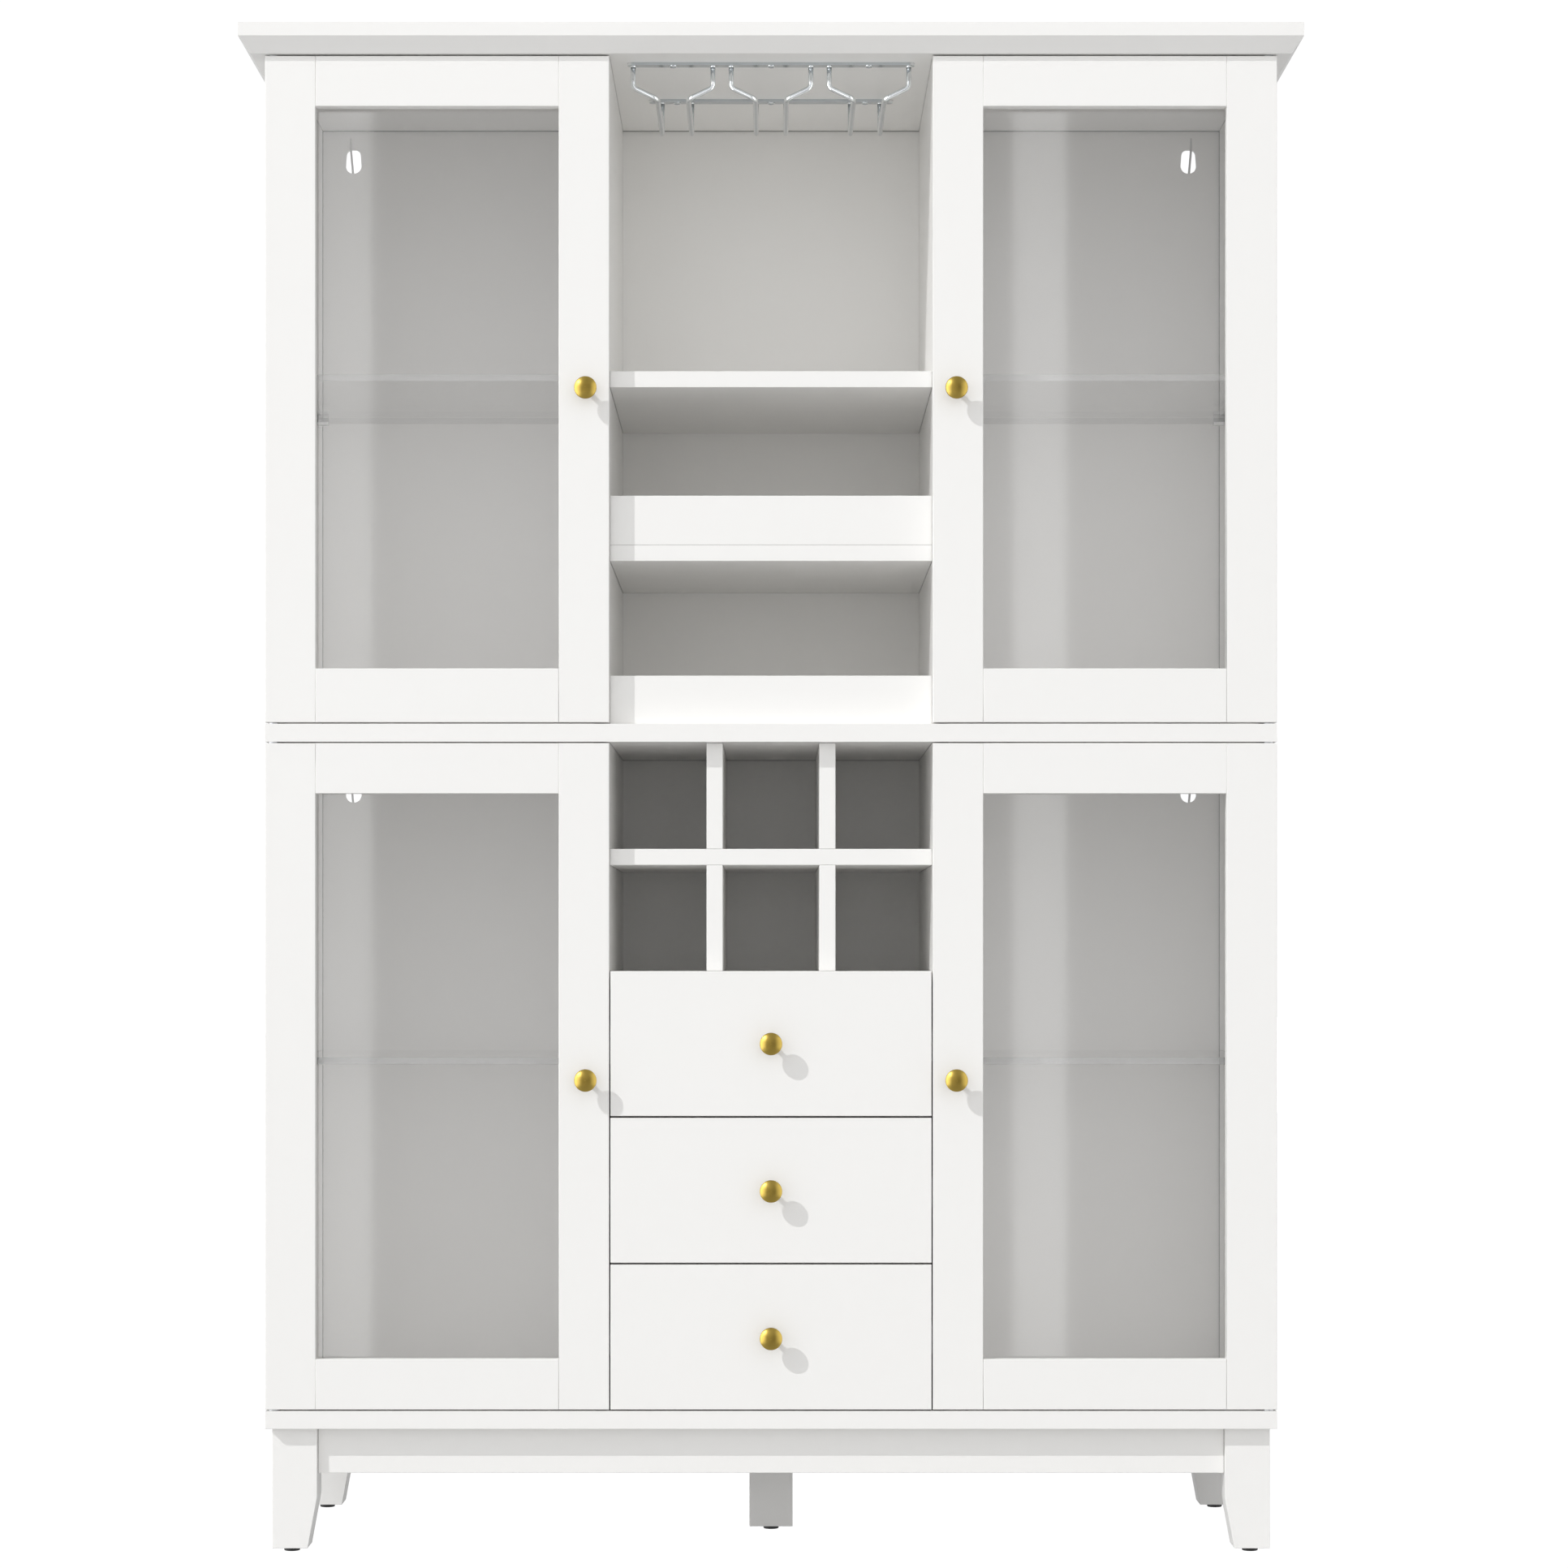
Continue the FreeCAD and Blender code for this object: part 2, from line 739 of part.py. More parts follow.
def make_bar(name, length, depth):
    """A flat bar with round ends and a hole for each of its three screws."""
    round_end = size.bar_width / 2
    end = length / 2 - round_end
    bar = weld(f"{name}Blank", [
        block(f"{name}Flat", (-end, end), (depth - round_end, depth + round_end), (bar_low, crown_low)),
        rod(f"{name}LeftEnd", round_end, size.bar_thick, -end, depth, bar_low, "z"),
        rod(f"{name}RightEnd", round_end, size.bar_thick, end, depth, bar_low, "z"),
    ])
    holes = [rod(f"{name}Hole{number + 2}", size.rack_shank_radius + size.screw_clear, size.bar_thick,
                 size.rail_pitch * number, depth, bar_low, "z") for number in (-1, 0, 1)]
    return carve(name, bar, holes)


keep("stemware_bars", group("StemwareBars", [
    make_bar("FrontBar", size.front_bar, rack_front), make_bar("RearBar", size.rear_bar, rack_rear)]))
keep("stemware_wires", group("StemwareWires", wires))
keep("stemware_screws", group("StemwareScrews", rack_screws))


# Glass shelves on clear supports with pegs
def make_support(name, face_x, along, depth, height):
    z_span = (height - size.support_height / 2, height + size.support_height / 2)
    y_span = (depth - size.support_width / 2, depth + size.support_width / 2)
    reach = size.support_reach
    x_span = (face_x - reach, face_x) if along == "x" else (face_x, face_x + reach)
    return weld(name, [
        block(f"{name}Ledge", x_span, y_span, z_span),
        rod(f"{name}Peg", size.peg_radius, size.peg_length, face_x, depth, height, along)])


shelves = []
supports = []
for storey, level in storeys.items():
    title = storey.title()
    shelf_low = level.floor + level.shelf_rise
    shelf = block(f"{title}Shelf", (divider_outer + size.shelf_gap, side_inner - size.shelf_gap),
                  (carcass_front + size.shelf_setback, back_front - size.shelf_back_gap),
                  (shelf_low, shelf_low + size.shelf_glass))
    shelves += [shelf, mirror(f"{title}ShelfLeft", shelf)]
    for number, (depth, height) in enumerate(peg_places(level.floor, level.shelf_rise)):
        for where, face_x, along in (("Side", side_inner, "x"), ("Divider", divider_outer, "-x")):
            support = make_support(f"{title}{where}Support{number}", face_x, along, depth, height)
            supports += [support, mirror(f"{title}{where}SupportLeft{number}", support)]
keep("glass_shelves", group("GlassShelves", shelves))
keep("shelf_pins", group("ShelfPins", supports))


# Knobs: a turned round knob with two shallow domes, its stem and foot, and its screw from behind
rim_run = size.knob_radius - size.knob_rim
rim_rise = size.knob_half_thick - size.knob_rim
dome_drop = (rim_run * rim_run - rim_rise * rim_rise) / (rim_rise * 2)
dome_radius = size.knob_half_thick + dome_drop
rim_share = dome_radius / (dome_radius - size.knob_rim)
rim_start = rim_run * rim_share
rim_half = dome_drop * rim_share - dome_drop


def dome_rise(across):
    """How far the dome stands from the middle of the knob at a distance from its axis."""
    return Size(f"(sqrt({dome_radius}^2 - {across}^2) - {dome_drop})")


def make_knob(name, x, z):
    centre = front - size.knob_reach
    bore = size.screw_radius + size.screw_clear
    bore_end = front - size.screw_reach
    half_way = rim_start / 2
    body = turn(f"{name}Turned", "XY_Plane", (x, zero, z), [
        (bore, front),
        (size.foot_radius, front),
        (size.foot_radius, front - size.foot_height),
        (size.stem_radius, front - size.foot_height * 2),
        (size.stem_radius, centre + dome_rise(size.stem_radius)),
        (rim_start, centre + rim_half),
        (rim_start, centre - rim_half),
        (zero, centre - size.knob_half_thick),
        (zero, bore_end),
        (bore, bore_end),
    ], {
        4: (dome_radius, (half_way, centre + dome_rise(half_way))),
        5: (size.knob_rim, (size.knob_radius, centre)),
        6: (dome_radius, (half_way, centre - dome_rise(half_way))),
    })
    screw = turn(f"{name}Screw", "XY_Plane", (x, zero, z), [
        (zero, bore_end + size.screw_clear),
        (size.screw_radius, bore_end + size.screw_clear),
        (size.screw_radius, front_back),
        (size.screw_head_radius, front_back),
        (size.screw_head_radius, front_back + size.screw_head_height),
        (zero, front_back + size.screw_head_height),
    ])
    return group(name, [body, screw])


def knob_bore(name, x, z):
    return rod(name, size.screw_radius + size.screw_clear, size.front_thick, x, front, z, "y")


# Doors: two full-height stiles, two rails, a pane in a rear rebate, clips, a strike and a knob
rebate_depth = front_back - size.glass_thick
opening_left = bay_half + size.stile
opening_right = half_width - size.stile


def make_stile(name, x_outer, x_open, hand, low, height):
    """A stile with its rebate on the side of the pane; hand is 1 when the pane is on its right."""
    rebate = x_open - size.glass_lap * hand
    corners = [
        (x_outer, front),
        (x_open, front),
        (x_open, rebate_depth),
        (rebate, rebate_depth),
        (rebate, front_back),
        (x_outer, front_back),
    ]
    return extrude(name, "XY_Plane", (zero, zero, low), height, corners)


def make_rail(name, low, height, rebate_span):
    """A rail whose thin tongues lap into the rebates of the stiles."""
    tongue = size.glass_lap
    body = extrude(f"{name}Blank", "XY_Plane", (zero, zero, low), height, [
        (opening_left, front),
        (opening_right, front),
        (opening_right, rebate_depth),
        (opening_right + tongue, rebate_depth),
        (opening_right + tongue, front_back),
        (opening_left - tongue, front_back),
        (opening_left - tongue, rebate_depth),
        (opening_left, rebate_depth),
    ])
    ease_front(body, front)
    rebate = block(f"{name}Rebate", (opening_left - tongue, opening_right + tongue),
                   (rebate_depth, front_back), rebate_span)
    return carve(name, body, [rebate])


def make_door_frame(name, level, low, high):
    height = high - low
    free_stile = ease_front(make_stile(f"{name}FreeStile", bay_half, opening_left, 1, low, height), front)
    free_stile = carve(f"{name}FreeStileBored", free_stile,
                       [knob_bore(f"{name}KnobBore", knob_x, low + level.knob_rise)])
    hinge_stile = make_stile(f"{name}HingeStile", half_width, opening_right, -1, low, height)
    pad = hinge_stile.Tip
    rounding = hinge_stile.newObject("PartDesign::Fillet", f"{name}HingeRound")
    rounding.Base = (pad, edges_where(
        pad.Shape, lambda point: near(point.x, half_width) and near(point.y, front_back)))
    bind(rounding, {"Radius": size.hinge_round})
    doc.recompute()
    ease_front(hinge_stile, front)
    reach = size.pivot_reach
    hinge_stile = carve(f"{name}HingeStileBored", hinge_stile, [
        rod(f"{name}LowBore", bore_radius, reach, pivot_x, pivot_y, low, "z"),
        rod(f"{name}HighBore", bore_radius, reach, pivot_x, pivot_y, high - reach, "z")])
    low_rail_top = low + level.bottom_rail
    high_rail_low = high - size.rail
    bottom = make_rail(f"{name}BottomRail", low, level.bottom_rail,
                       (low_rail_top - size.glass_lap, low_rail_top))
    top = make_rail(f"{name}TopRail", high_rail_low, size.rail,
                    (high_rail_low, high_rail_low + size.glass_lap))
    return group(name, [free_stile, hinge_stile, bottom, top])


def make_glass(name, level, low, high):
    reach = size.glass_lap - size.glass_clear
    return block(name, (opening_left - reach, opening_right + reach), (rebate_depth, front_back),
                 (low + level.bottom_rail - reach, high - size.rail + reach))


def make_clips(name, level, low, high):
    """Small plates that hold the edge of the pane, and the plate that the catch holds."""
    depth = (front_back, front_back + size.clip_thick)
    width = size.clip_width
    inner = size.clip_lap - size.glass_lap + size.glass_clear
    outer = size.clip_length - inner
    clips = []
    for row, z in (("Low", low + size.clip_end), ("High", high - size.clip_end)):
        z_span = (z - width / 2, z + width / 2)
        for side, x_span in (("Free", (opening_left - outer, opening_left + inner)),
                             ("Hinge", (opening_right - inner, opening_right + outer))):
            clips.append(block(f"{name}{side}{row}", x_span, depth, z_span))
    middle = (opening_left + opening_right) / 2
    x_span = (middle - width / 2, middle + width / 2)
    rail_top = low + level.bottom_rail
    rail_low = high - size.rail
    clips.append(block(f"{name}Bottom", x_span, depth, (rail_top - outer, rail_top + inner)))
    clips.append(block(f"{name}Top", x_span, depth, (rail_low - inner, rail_low + outer)))
    strike_x = (divider_outer, divider_outer + size.strike_width)
    strike_high = high - size.catch_drop
    clips.append(block(f"{name}Strike", strike_x, depth, (strike_high - size.strike_length, strike_high)))
    return group(name, clips)


def make_catch(name, high):
    """A magnetic catch on the divider, just clear of the strike on the closed door."""
    catch_front = front_back + size.clip_thick + size.catch_clear
    strike_high = high - size.catch_drop
    return block(name, (divider_outer, divider_outer + size.strike_width),
                 (catch_front, catch_front + size.catch_depth),
                 (strike_high - size.strike_length, strike_high))


def make_pin(name, seat, up):
    """A pivot pin with a collar: its shank sits in a board and its upper end in a door."""
    collar = size.reveal - size.collar_clear
    way = 1 if up else -1
    return turn(name, "XZ_Plane", (pivot_x, zero, -pivot_y), [
        (zero, seat - size.pivot_seat * way),
        (size.pivot_radius, seat - size.pivot_seat * way),
        (size.pivot_radius, seat),
        (size.collar_radius, seat),
        (size.collar_radius, seat + collar * way),
        (size.pivot_radius, seat + collar * way),
        (size.pivot_radius, seat + size.pivot_reach * way),
        (zero, seat + size.pivot_reach * way),
    ])


catches = []
pins = []
for storey, level in storeys.items():
    title = storey.title()
    low = level.floor + size.reveal
    high = level.ceiling - size.reveal
    made = {
        "frame": make_door_frame(f"{title}DoorFrame", level, low, high),
        "glass": make_glass(f"{title}DoorGlass", level, low, high),
        "clips": make_clips(f"{title}DoorClips", level, low, high),
        "knob": make_knob(f"{title}DoorKnob", knob_x, low + level.knob_rise),
    }
    for kind, piece in made.items():
        keep(f"{storey}_right_door_{kind}", piece)
        keep(f"{storey}_left_door_{kind}", mirror(f"{piece.Name}Left", piece))
    catch = make_catch(f"{title}Catch", high)
    catches += [catch, mirror(f"{title}CatchLeft", catch)]
    for end, seat, up in (("Low", level.floor, True), ("High", level.ceiling, False)):
        pin = make_pin(f"{title}{end}Pin", seat, up)
        pins += [pin, mirror(f"{title}{end}PinLeft", pin)]
keep("door_catches", group("DoorCatches", catches))
keep("pivot_pins", group("PivotPins", pins))


# Drawers: an eased front, a box with its bottom in grooves, a knob and two runners each
drawers_low = bottom_top + size.reveal
front_height = (rack_base_top - drawers_low - size.drawer_gap * 2) / 3
box_height = front_height - size.box_rise - size.panel - size.box_headroom
box_outer = bay_half - size.runner_space
box_inner = box_outer - size.box_side
box_back = front_back + size.box_depth
runner_depth = front_back + size.runner_setback


def make_drawer_front(name, low):
    half = bay_half - size.reveal
    body = extrude(f"{name}Blank", "XY_Plane", (zero, zero, low), front_height, [
        (-half, front), (half, front), (half, front_back), (-half, front_back)])
    ease_front(body, front)
    return carve(name, body, [knob_bore(f"{name}Bore", zero, low + front_height / 2)])


def make_drawer_box(name, low):
    z_span = (low, low + box_height)
    floor = (low + size.box_bottom_rise, low + size.box_bottom_rise + size.box_bottom)
    back_inner = box_back - size.box_side
    tray_x = (-(box_inner + size.box_groove), box_inner + size.box_groove)
    tray_y = (front_back, back_inner + size.box_groove)
    side_blank = block(f"{name}SideBlank", (box_inner, box_outer), (front_back, box_back), z_span)
    side_groove = block(f"{name}SideGroove", (box_inner, box_inner + size.box_groove), tray_y, floor)
    side = carve(f"{name}Side", side_blank, [side_groove])
    back_blank = block(f"{name}BackBlank", (-box_inner, box_inner), (back_inner, box_back), z_span)
    back_groove = block(f"{name}BackGroove", (-box_inner, box_inner),
                        (back_inner, back_inner + size.box_groove), floor)
    back = carve(f"{name}Back", back_blank, [back_groove])
    tray = block(f"{name}Tray", tray_x, tray_y, floor)
    return group(name, [side, mirror(f"{name}SideLeft", side), back, tray])


def make_runner(name, web_x, lip_x, low, height):
    """A channel of sheet steel, from its web to the ends of its lips."""
    gauge = size.runner_gauge
    web_face = web_x - gauge if value(web_x - lip_x) > 0 else web_x + gauge
    far_end = -(runner_depth + size.runner_length)
    return extrude(name, "XZ_Plane", (zero, zero, far_end), size.runner_length, [
        (web_x, low),
        (lip_x, low),
        (lip_x, low + gauge),
        (web_face, low + gauge),
        (web_face, low + height - gauge),
        (lip_x, low + height - gauge),
        (lip_x, low + height),
        (web_x, low + height),
    ])


outer_runners = []
for number, drawer in enumerate(("bottom", "middle", "top")):
    title = drawer.title()
    low = drawers_low + (front_height + size.drawer_gap) * number
    box_low = low + size.box_rise
    runner_low = box_low + (box_height - size.runner_height) / 2
    slack = size.runner_gauge + size.runner_clear
    keep(f"{drawer}_drawer_front", make_drawer_front(f"{title}DrawerFront", low))
    keep(f"{drawer}_drawer_box", make_drawer_box(f"{title}DrawerBox", box_low))
    keep(f"{drawer}_drawer_knob", make_knob(f"{title}DrawerKnob", zero, low + front_height / 2))
    inner = make_runner(f"{title}InnerRunner", box_outer, box_outer + size.runner_lip,
                        runner_low + slack, size.runner_height - slack * 2)
    keep(f"{drawer}_drawer_runners", pair(f"{title}DrawerRunners", inner))
    outer = make_runner(f"{title}OuterRunner", bay_half, bay_half - size.runner_lip,
                        runner_low, size.runner_height)
    outer_runners += [outer, mirror(f"{title}OuterRunnerLeft", outer)]
keep("drawer_runners", group("DrawerRunners", outer_runners))

doc.recompute()
for thing in doc.Objects:
    if "Invalid" in thing.State or "Error" in thing.State:
        raise RuntimeError(f"{thing.Label} failed: {thing.State}")
for part in sub_parts:
    if part.Shape.isNull() or not part.Shape.isValid():
        raise RuntimeError(f"{part.Label} has no valid shape")

os.makedirs("parts", exist_ok=True)
for part in sub_parts:
    part.Shape.exportStep(f"parts/{part.Label}.step")
print(len(sub_parts), "sub-parts,", sum(len(part.Shape.Solids) for part in sub_parts), "solids")
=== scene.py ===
# %% [markdown]
# # A white wine cabinet
# The solid model of the cabinet comes in as a fixed frame: every board, pane, wire and knob is already
# where it belongs, in metres, with the floor at Z = 0 and the doors facing -Y. What is left to do here is
# the look of it: softened edges, finishes, small fittings, light and the camera.

# %% Load the frame
import bpy
import bmesh
import math
from mathutils import Matrix, Vector


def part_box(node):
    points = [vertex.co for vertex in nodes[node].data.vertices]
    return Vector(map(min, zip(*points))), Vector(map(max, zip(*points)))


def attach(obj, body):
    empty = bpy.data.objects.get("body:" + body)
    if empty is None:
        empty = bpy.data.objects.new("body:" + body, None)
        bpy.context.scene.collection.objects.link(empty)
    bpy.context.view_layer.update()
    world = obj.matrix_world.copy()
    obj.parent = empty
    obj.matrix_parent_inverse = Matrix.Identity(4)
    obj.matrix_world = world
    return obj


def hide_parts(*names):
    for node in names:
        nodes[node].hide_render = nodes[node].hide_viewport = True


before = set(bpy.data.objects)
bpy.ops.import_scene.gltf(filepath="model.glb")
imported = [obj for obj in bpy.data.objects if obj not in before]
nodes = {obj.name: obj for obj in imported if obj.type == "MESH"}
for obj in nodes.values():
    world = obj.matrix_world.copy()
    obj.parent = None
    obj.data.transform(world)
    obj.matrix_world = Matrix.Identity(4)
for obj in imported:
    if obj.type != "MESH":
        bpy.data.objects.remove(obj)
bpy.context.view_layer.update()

# %% [markdown]
# ## The camera
# The photograph looks straight at the front from a little over four metres, with the lens raised so that
# upright lines stay upright. A tilted camera would make them lean, so the camera stays level and the
# frame is moved with the lens shift instead.

# %% Place the camera
camera_data = bpy.data.cameras.new("FrontCamera")
camera_data.sensor_width = 36.0
camera_data.lens = 86.75
camera_data.shift_x = 0.00828
camera_data.shift_y = 0.1123
camera = bpy.data.objects.new("FrontCamera", camera_data)
camera.location = (0.0, -4.400, 0.6613)
camera.rotation_euler = (math.radians(90), 0.0, 0.0)
bpy.context.scene.collection.objects.link(camera)
bpy.context.scene.camera = camera
print("camera", tuple(camera.location))

# %% [markdown]
# ## Writing finishes as sums
# A finish is a small network of nodes. Wiring each Math node by hand is slow to read, so a socket is
# wrapped in a class that understands +, -, *, powers and comparisons, and the network can be written as
# plain arithmetic. A comparison gives 1 where it holds and 0 elsewhere, which makes a mask.


# %% The socket class and the finish class
class Field:
    """A socket whose value changes over a surface."""

    def __init__(self, tree, socket):
        self.tree = tree
        self.socket = socket

    def join(self, operation, first, second):
        maths = self.tree.nodes.new("ShaderNodeMath")
        maths.operation = operation
        for place, term in zip(maths.inputs, (first, second)):
            if isinstance(term, Field):
                self.tree.links.new(term.socket, place)
            else:
                place.default_value = term
        return Field(self.tree, maths.outputs[0])

    def __add__(self, other):
        return self.join("ADD", self, other)

    __radd__ = __add__

    def __mul__(self, other):
        return self.join("MULTIPLY", self, other)

    __rmul__ = __mul__

    def __sub__(self, other):
        return self.join("SUBTRACT", self, other)

    def __rsub__(self, other):
        return self.join("SUBTRACT", other, self)

    def __pow__(self, other):
        return self.join("POWER", self, other)

    def __gt__(self, other):
        return self.join("GREATER_THAN", self, other)

    def __lt__(self, other):
        return self.join("LESS_THAN", self, other)


class Finish:
    """A material, or the world, whose nodes are made one at a time."""

    def __init__(self, owner):
        owner.use_nodes = True
        self.owner = owner
        self.tree = owner.node_tree
        self.tree.nodes.clear()

    def node(self, kind, settings=None, values=None, output=0):
        """Make any node: its settings first, then the values or links of its sockets."""
        made = self.tree.nodes.new(f"ShaderNode{kind}")
        for name, setting in (settings or {}).items():
            setattr(made, name, setting)
        for place, value in (values or {}).items():
            if isinstance(value, Field):
                self.tree.links.new(value.socket, made.inputs[place])
            else:
                made.inputs[place].default_value = value
        return Field(self.tree, made.outputs[output]) if made.outputs else None

    def where(self):
        """The place on the object, in metres."""
        return self.node("TexCoord", output="Object")

    def noise(self, scale, detail=2.0, place=None):
        return self.node("TexNoise", values={
            "Vector": place or self.where(), "Scale": scale, "Detail": detail})

    def stretched(self, along):
        """The place on the object with each axis drawn out by a factor of its own."""
        return self.node("Mapping", {"vector_type": "POINT"}, {"Vector": self.where(), "Scale": along})

    def part(self, vector, axis):
        return self.node("SeparateXYZ", values={0: vector}, output=axis)

    def size(self, value):
        """A value without its sign."""
        return self.node("Math", {"operation": "ABSOLUTE"}, {0: value})

    def clamp(self, value):
        return self.node("Clamp", values={0: value})

    def facing(self, axis):
        """How squarely the surface faces along one of the object's axes, from 0 to 1."""
        return self.size(self.part(self.node("TexCoord", output="Normal"), axis))

    def blend(self, factor, first, second):
        return self.node("Mix", {"data_type": "RGBA"}, {0: factor, 6: first, 7: second}, output=2)

    def bump(self, height, strength, distance):
        return self.node("Bump", values={"Height": height, "Strength": strength, "Distance": distance})

    def surface(self, values):
        return self.node("BsdfPrincipled", values=values)

    def close(self, shader, kind="Material"):
        self.node(f"Output{kind}", values={"Surface": shader})
        return self.owner


def start_finish(name):
    return Finish(bpy.data.materials.new(name))


def rgb(red, green, blue):
    return (red, green, blue, 1.0)


# %% [markdown]
# ## White lacquer
# The boards are sprayed in a warm white. Real lacquer is never quite even: the tint drifts a little over a
# board, the sheen is patchy, and the film dries with a very fine orange-peel ripple. Three noises at three
# sizes give those, each so faint that it only shows in the light.
#
# A thin dark line of painted shade runs along every inside joint of the carcass. Two boards that simply
# touch show none, so the finish paints it. On the boards, short feeler rays find the last millimetre before
# a corner and paint shade there. On the back panels, the strip that lies in the grooves is found from the
# places of the boards around it and painted in shade. The doors and drawer fronts have no inside joints and
# go without.


# %% Find the joints between the boards, where shade is painted
SHADE_REACH = 0.0018
GROOVE_SHADE_EDGE = 0.0005


def corner_painted_shade(finish):
    """Painted shade in the last millimetre before two boards meet."""
    openness = finish.node("AmbientOcclusion", {"samples": 6}, {"Distance": SHADE_REACH}, "AO")
    return finish.clamp((1 - openness) * 2.6 - 0.35)


def groove_painted_shade(finish):
    """The strip of a back panel that lies in the grooves of the boards around it, painted in shade."""
    across = finish.size(finish.part(finish.where(), "X"))
    height = finish.part(finish.where(), "Z")
    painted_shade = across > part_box("upper_right_side")[0].x - GROOVE_SHADE_EDGE
    for board in ("crown", "mid_board", "bottom_board"):
        low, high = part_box(board)
        middle = (low.z + high.z) / 2
        reach = (high.z - low.z) / 2 + GROOVE_SHADE_EDGE
        painted_shade = painted_shade + (finish.size(height - middle) < reach)
    return finish.clamp(painted_shade)


print("a joint line is", SHADE_REACH, "m wide at most")


# %% Make the white finishes
# the colours of the painted shade at the joints
CORNER_SHADE_TONE = rgb(0.45, 0.445, 0.435)
GROOVE_SHADE_TONE = rgb(0.39, 0.384, 0.374)


def make_white(name, light, dark, gloss, ripple_size, ripple, painted_shade=None, shade_tone=None):
    finish = start_finish(name)
    drift = finish.noise(2.2, 3.0)
    sheen = finish.noise(38.0, 2.0)
    peel = finish.noise(ripple_size, 2.0)
    colour = finish.blend(drift, light, dark)
    # darken the colour with painted shade at the joints
    if painted_shade:
        colour = finish.blend(painted_shade(finish), colour, shade_tone)
    return finish.close(finish.surface({
        "Base Color": colour,
        "Roughness": gloss + sheen * 0.08,
        "Normal": finish.bump(peel, ripple, 0.0004),
    }))


WHITE = rgb(0.936, 0.929, 0.913)
WHITE_DEEP = rgb(0.924, 0.916, 0.899)
# white_lacquer and white_board have painted shade at their joints; front_lacquer has none
finishes = {
    "white_lacquer": make_white("white_lacquer", WHITE, WHITE_DEEP, 0.30, 420.0, 0.05,
                                corner_painted_shade, CORNER_SHADE_TONE),
    "front_lacquer": make_white("front_lacquer", WHITE, WHITE_DEEP, 0.30, 420.0, 0.05),
    "white_board": make_white("white_board", rgb(0.930, 0.922, 0.906), rgb(0.916, 0.907, 0.890),
                              0.42, 900.0, 0.10, groove_painted_shade, GROOVE_SHADE_TONE),
}
print("white finishes", sorted(finishes))

# %% [markdown]
# ## Metals
# The round knobs are satin brass, the stemware rack is plated wire, and the hidden fittings are zinc
# plated. A metal takes its look from what it mirrors, so the work is in the roughness: faint drawn lines
# on the wire, fine turning marks on the brass and crystal flakes in the zinc. Each metal also has a
# painted reflection shade: a deeper tone where it faces forwards or down, standing in for the darker
# reflections there.


# %% Make the metal finishes
def make_metal(name, light, dark, reflection_shade_tone, reach, down_shade_power, low_gloss, spread, pattern):
    finish = start_finish(name)
    grain = pattern(finish)
    tint = finish.noise(60.0, 2.0)
    # painted reflection shade: the deeper tone where the surface faces forwards (Y) or down (Z)
    painted_reflection_shade = finish.clamp(finish.facing("Y") ** reach + finish.facing("Z") ** down_shade_power)
    return finish.close(finish.surface({
        "Base Color": finish.blend(painted_reflection_shade, finish.blend(tint, light, dark), reflection_shade_tone),
        "Metallic": 1.0,
        "Roughness": low_gloss + grain * spread,
        "Normal": finish.bump(grain, 0.05, 0.0001),
    }))


def drawn_lines(finish):
    return finish.noise(900.0, 3.0, finish.stretched((1.0, 0.05, 1.0)))


def turning_marks(finish):
    return finish.noise(500.0, 4.0, finish.stretched((0.3, 1.0, 0.3)))


def zinc_flakes(finish):
    return finish.node("TexVoronoi", {"feature": "F1"}, {"Vector": finish.where(), "Scale": 320.0}, "Color")


# the third colour of each metal is its painted reflection shade
finishes["satin_brass"] = make_metal(
    "satin_brass", rgb(0.65, 0.47, 0.115), rgb(0.59, 0.43, 0.100), rgb(0.20, 0.138, 0.028), 5.0, 3.0,
    0.33, 0.10, turning_marks)
finishes["bright_wire"] = make_metal(
    "bright_wire", rgb(0.93, 0.95, 0.96), rgb(0.87, 0.89, 0.90), rgb(0.52, 0.55, 0.57), 24.0, 3.0,
    0.12, 0.08, drawn_lines)
finishes["zinc_steel"] = make_metal(
    "zinc_steel", rgb(0.60, 0.61, 0.62), rgb(0.50, 0.51, 0.53), rgb(0.50, 0.51, 0.53), 8.0, 8.0,
    0.24, 0.22, zinc_flakes)
print("metal finishes", "satin_brass", "bright_wire", "zinc_steel")

# %% [markdown]
# ## Glass and clear plastic
# A pane could be solid glass that bends light, but then every shadow behind it has to be found by chance
# and the cabinet would go dark and grainy. Thin glass is better as a sheet that lets light straight
# through and mirrors more at a slant. The edge of a pane is different: light gathers there, so it shows
# as a paler band. A mask from the surface's direction tells the two apart.


# %% Make the glass
def make_pane(name, tint, edge_colour, edge_alpha, edge_axis):
    finish = start_finish(name)
    smear = finish.noise(7.0, 3.0)
    clear = finish.node("BsdfTransparent", values={"Color": tint})
    gloss = finish.surface({
        "Base Color": rgb(0.93, 0.93, 0.925),
        "Metallic": 1.0,
        "Roughness": 0.030 + smear * 0.02,
    })
    slant = finish.node("LayerWeight", values={"Blend": 0.5}, output="Facing")
    mirror = 0.04 + slant ** 5.0 * 0.96
    face = finish.node("MixShader", values={0: mirror, 1: clear, 2: gloss})
    flat = finish.facing(edge_axis)
    edge = finish.surface({
        "Base Color": edge_colour,
        "Roughness": 0.12 + smear * 0.10,
        "Alpha": edge_alpha,
    })
    return finish.close(finish.node("MixShader", values={0: flat, 1: edge, 2: face}))


finishes["door_glass"] = make_pane(
    "door_glass", rgb(0.985, 0.985, 0.988), rgb(0.66, 0.70, 0.68), 0.75, "Y")
finishes["shelf_glass"] = make_pane(
    "shelf_glass", rgb(0.982, 0.982, 0.980), rgb(0.80, 0.80, 0.79), 0.28, "Z")
print("glass finishes", "door_glass", "shelf_glass")


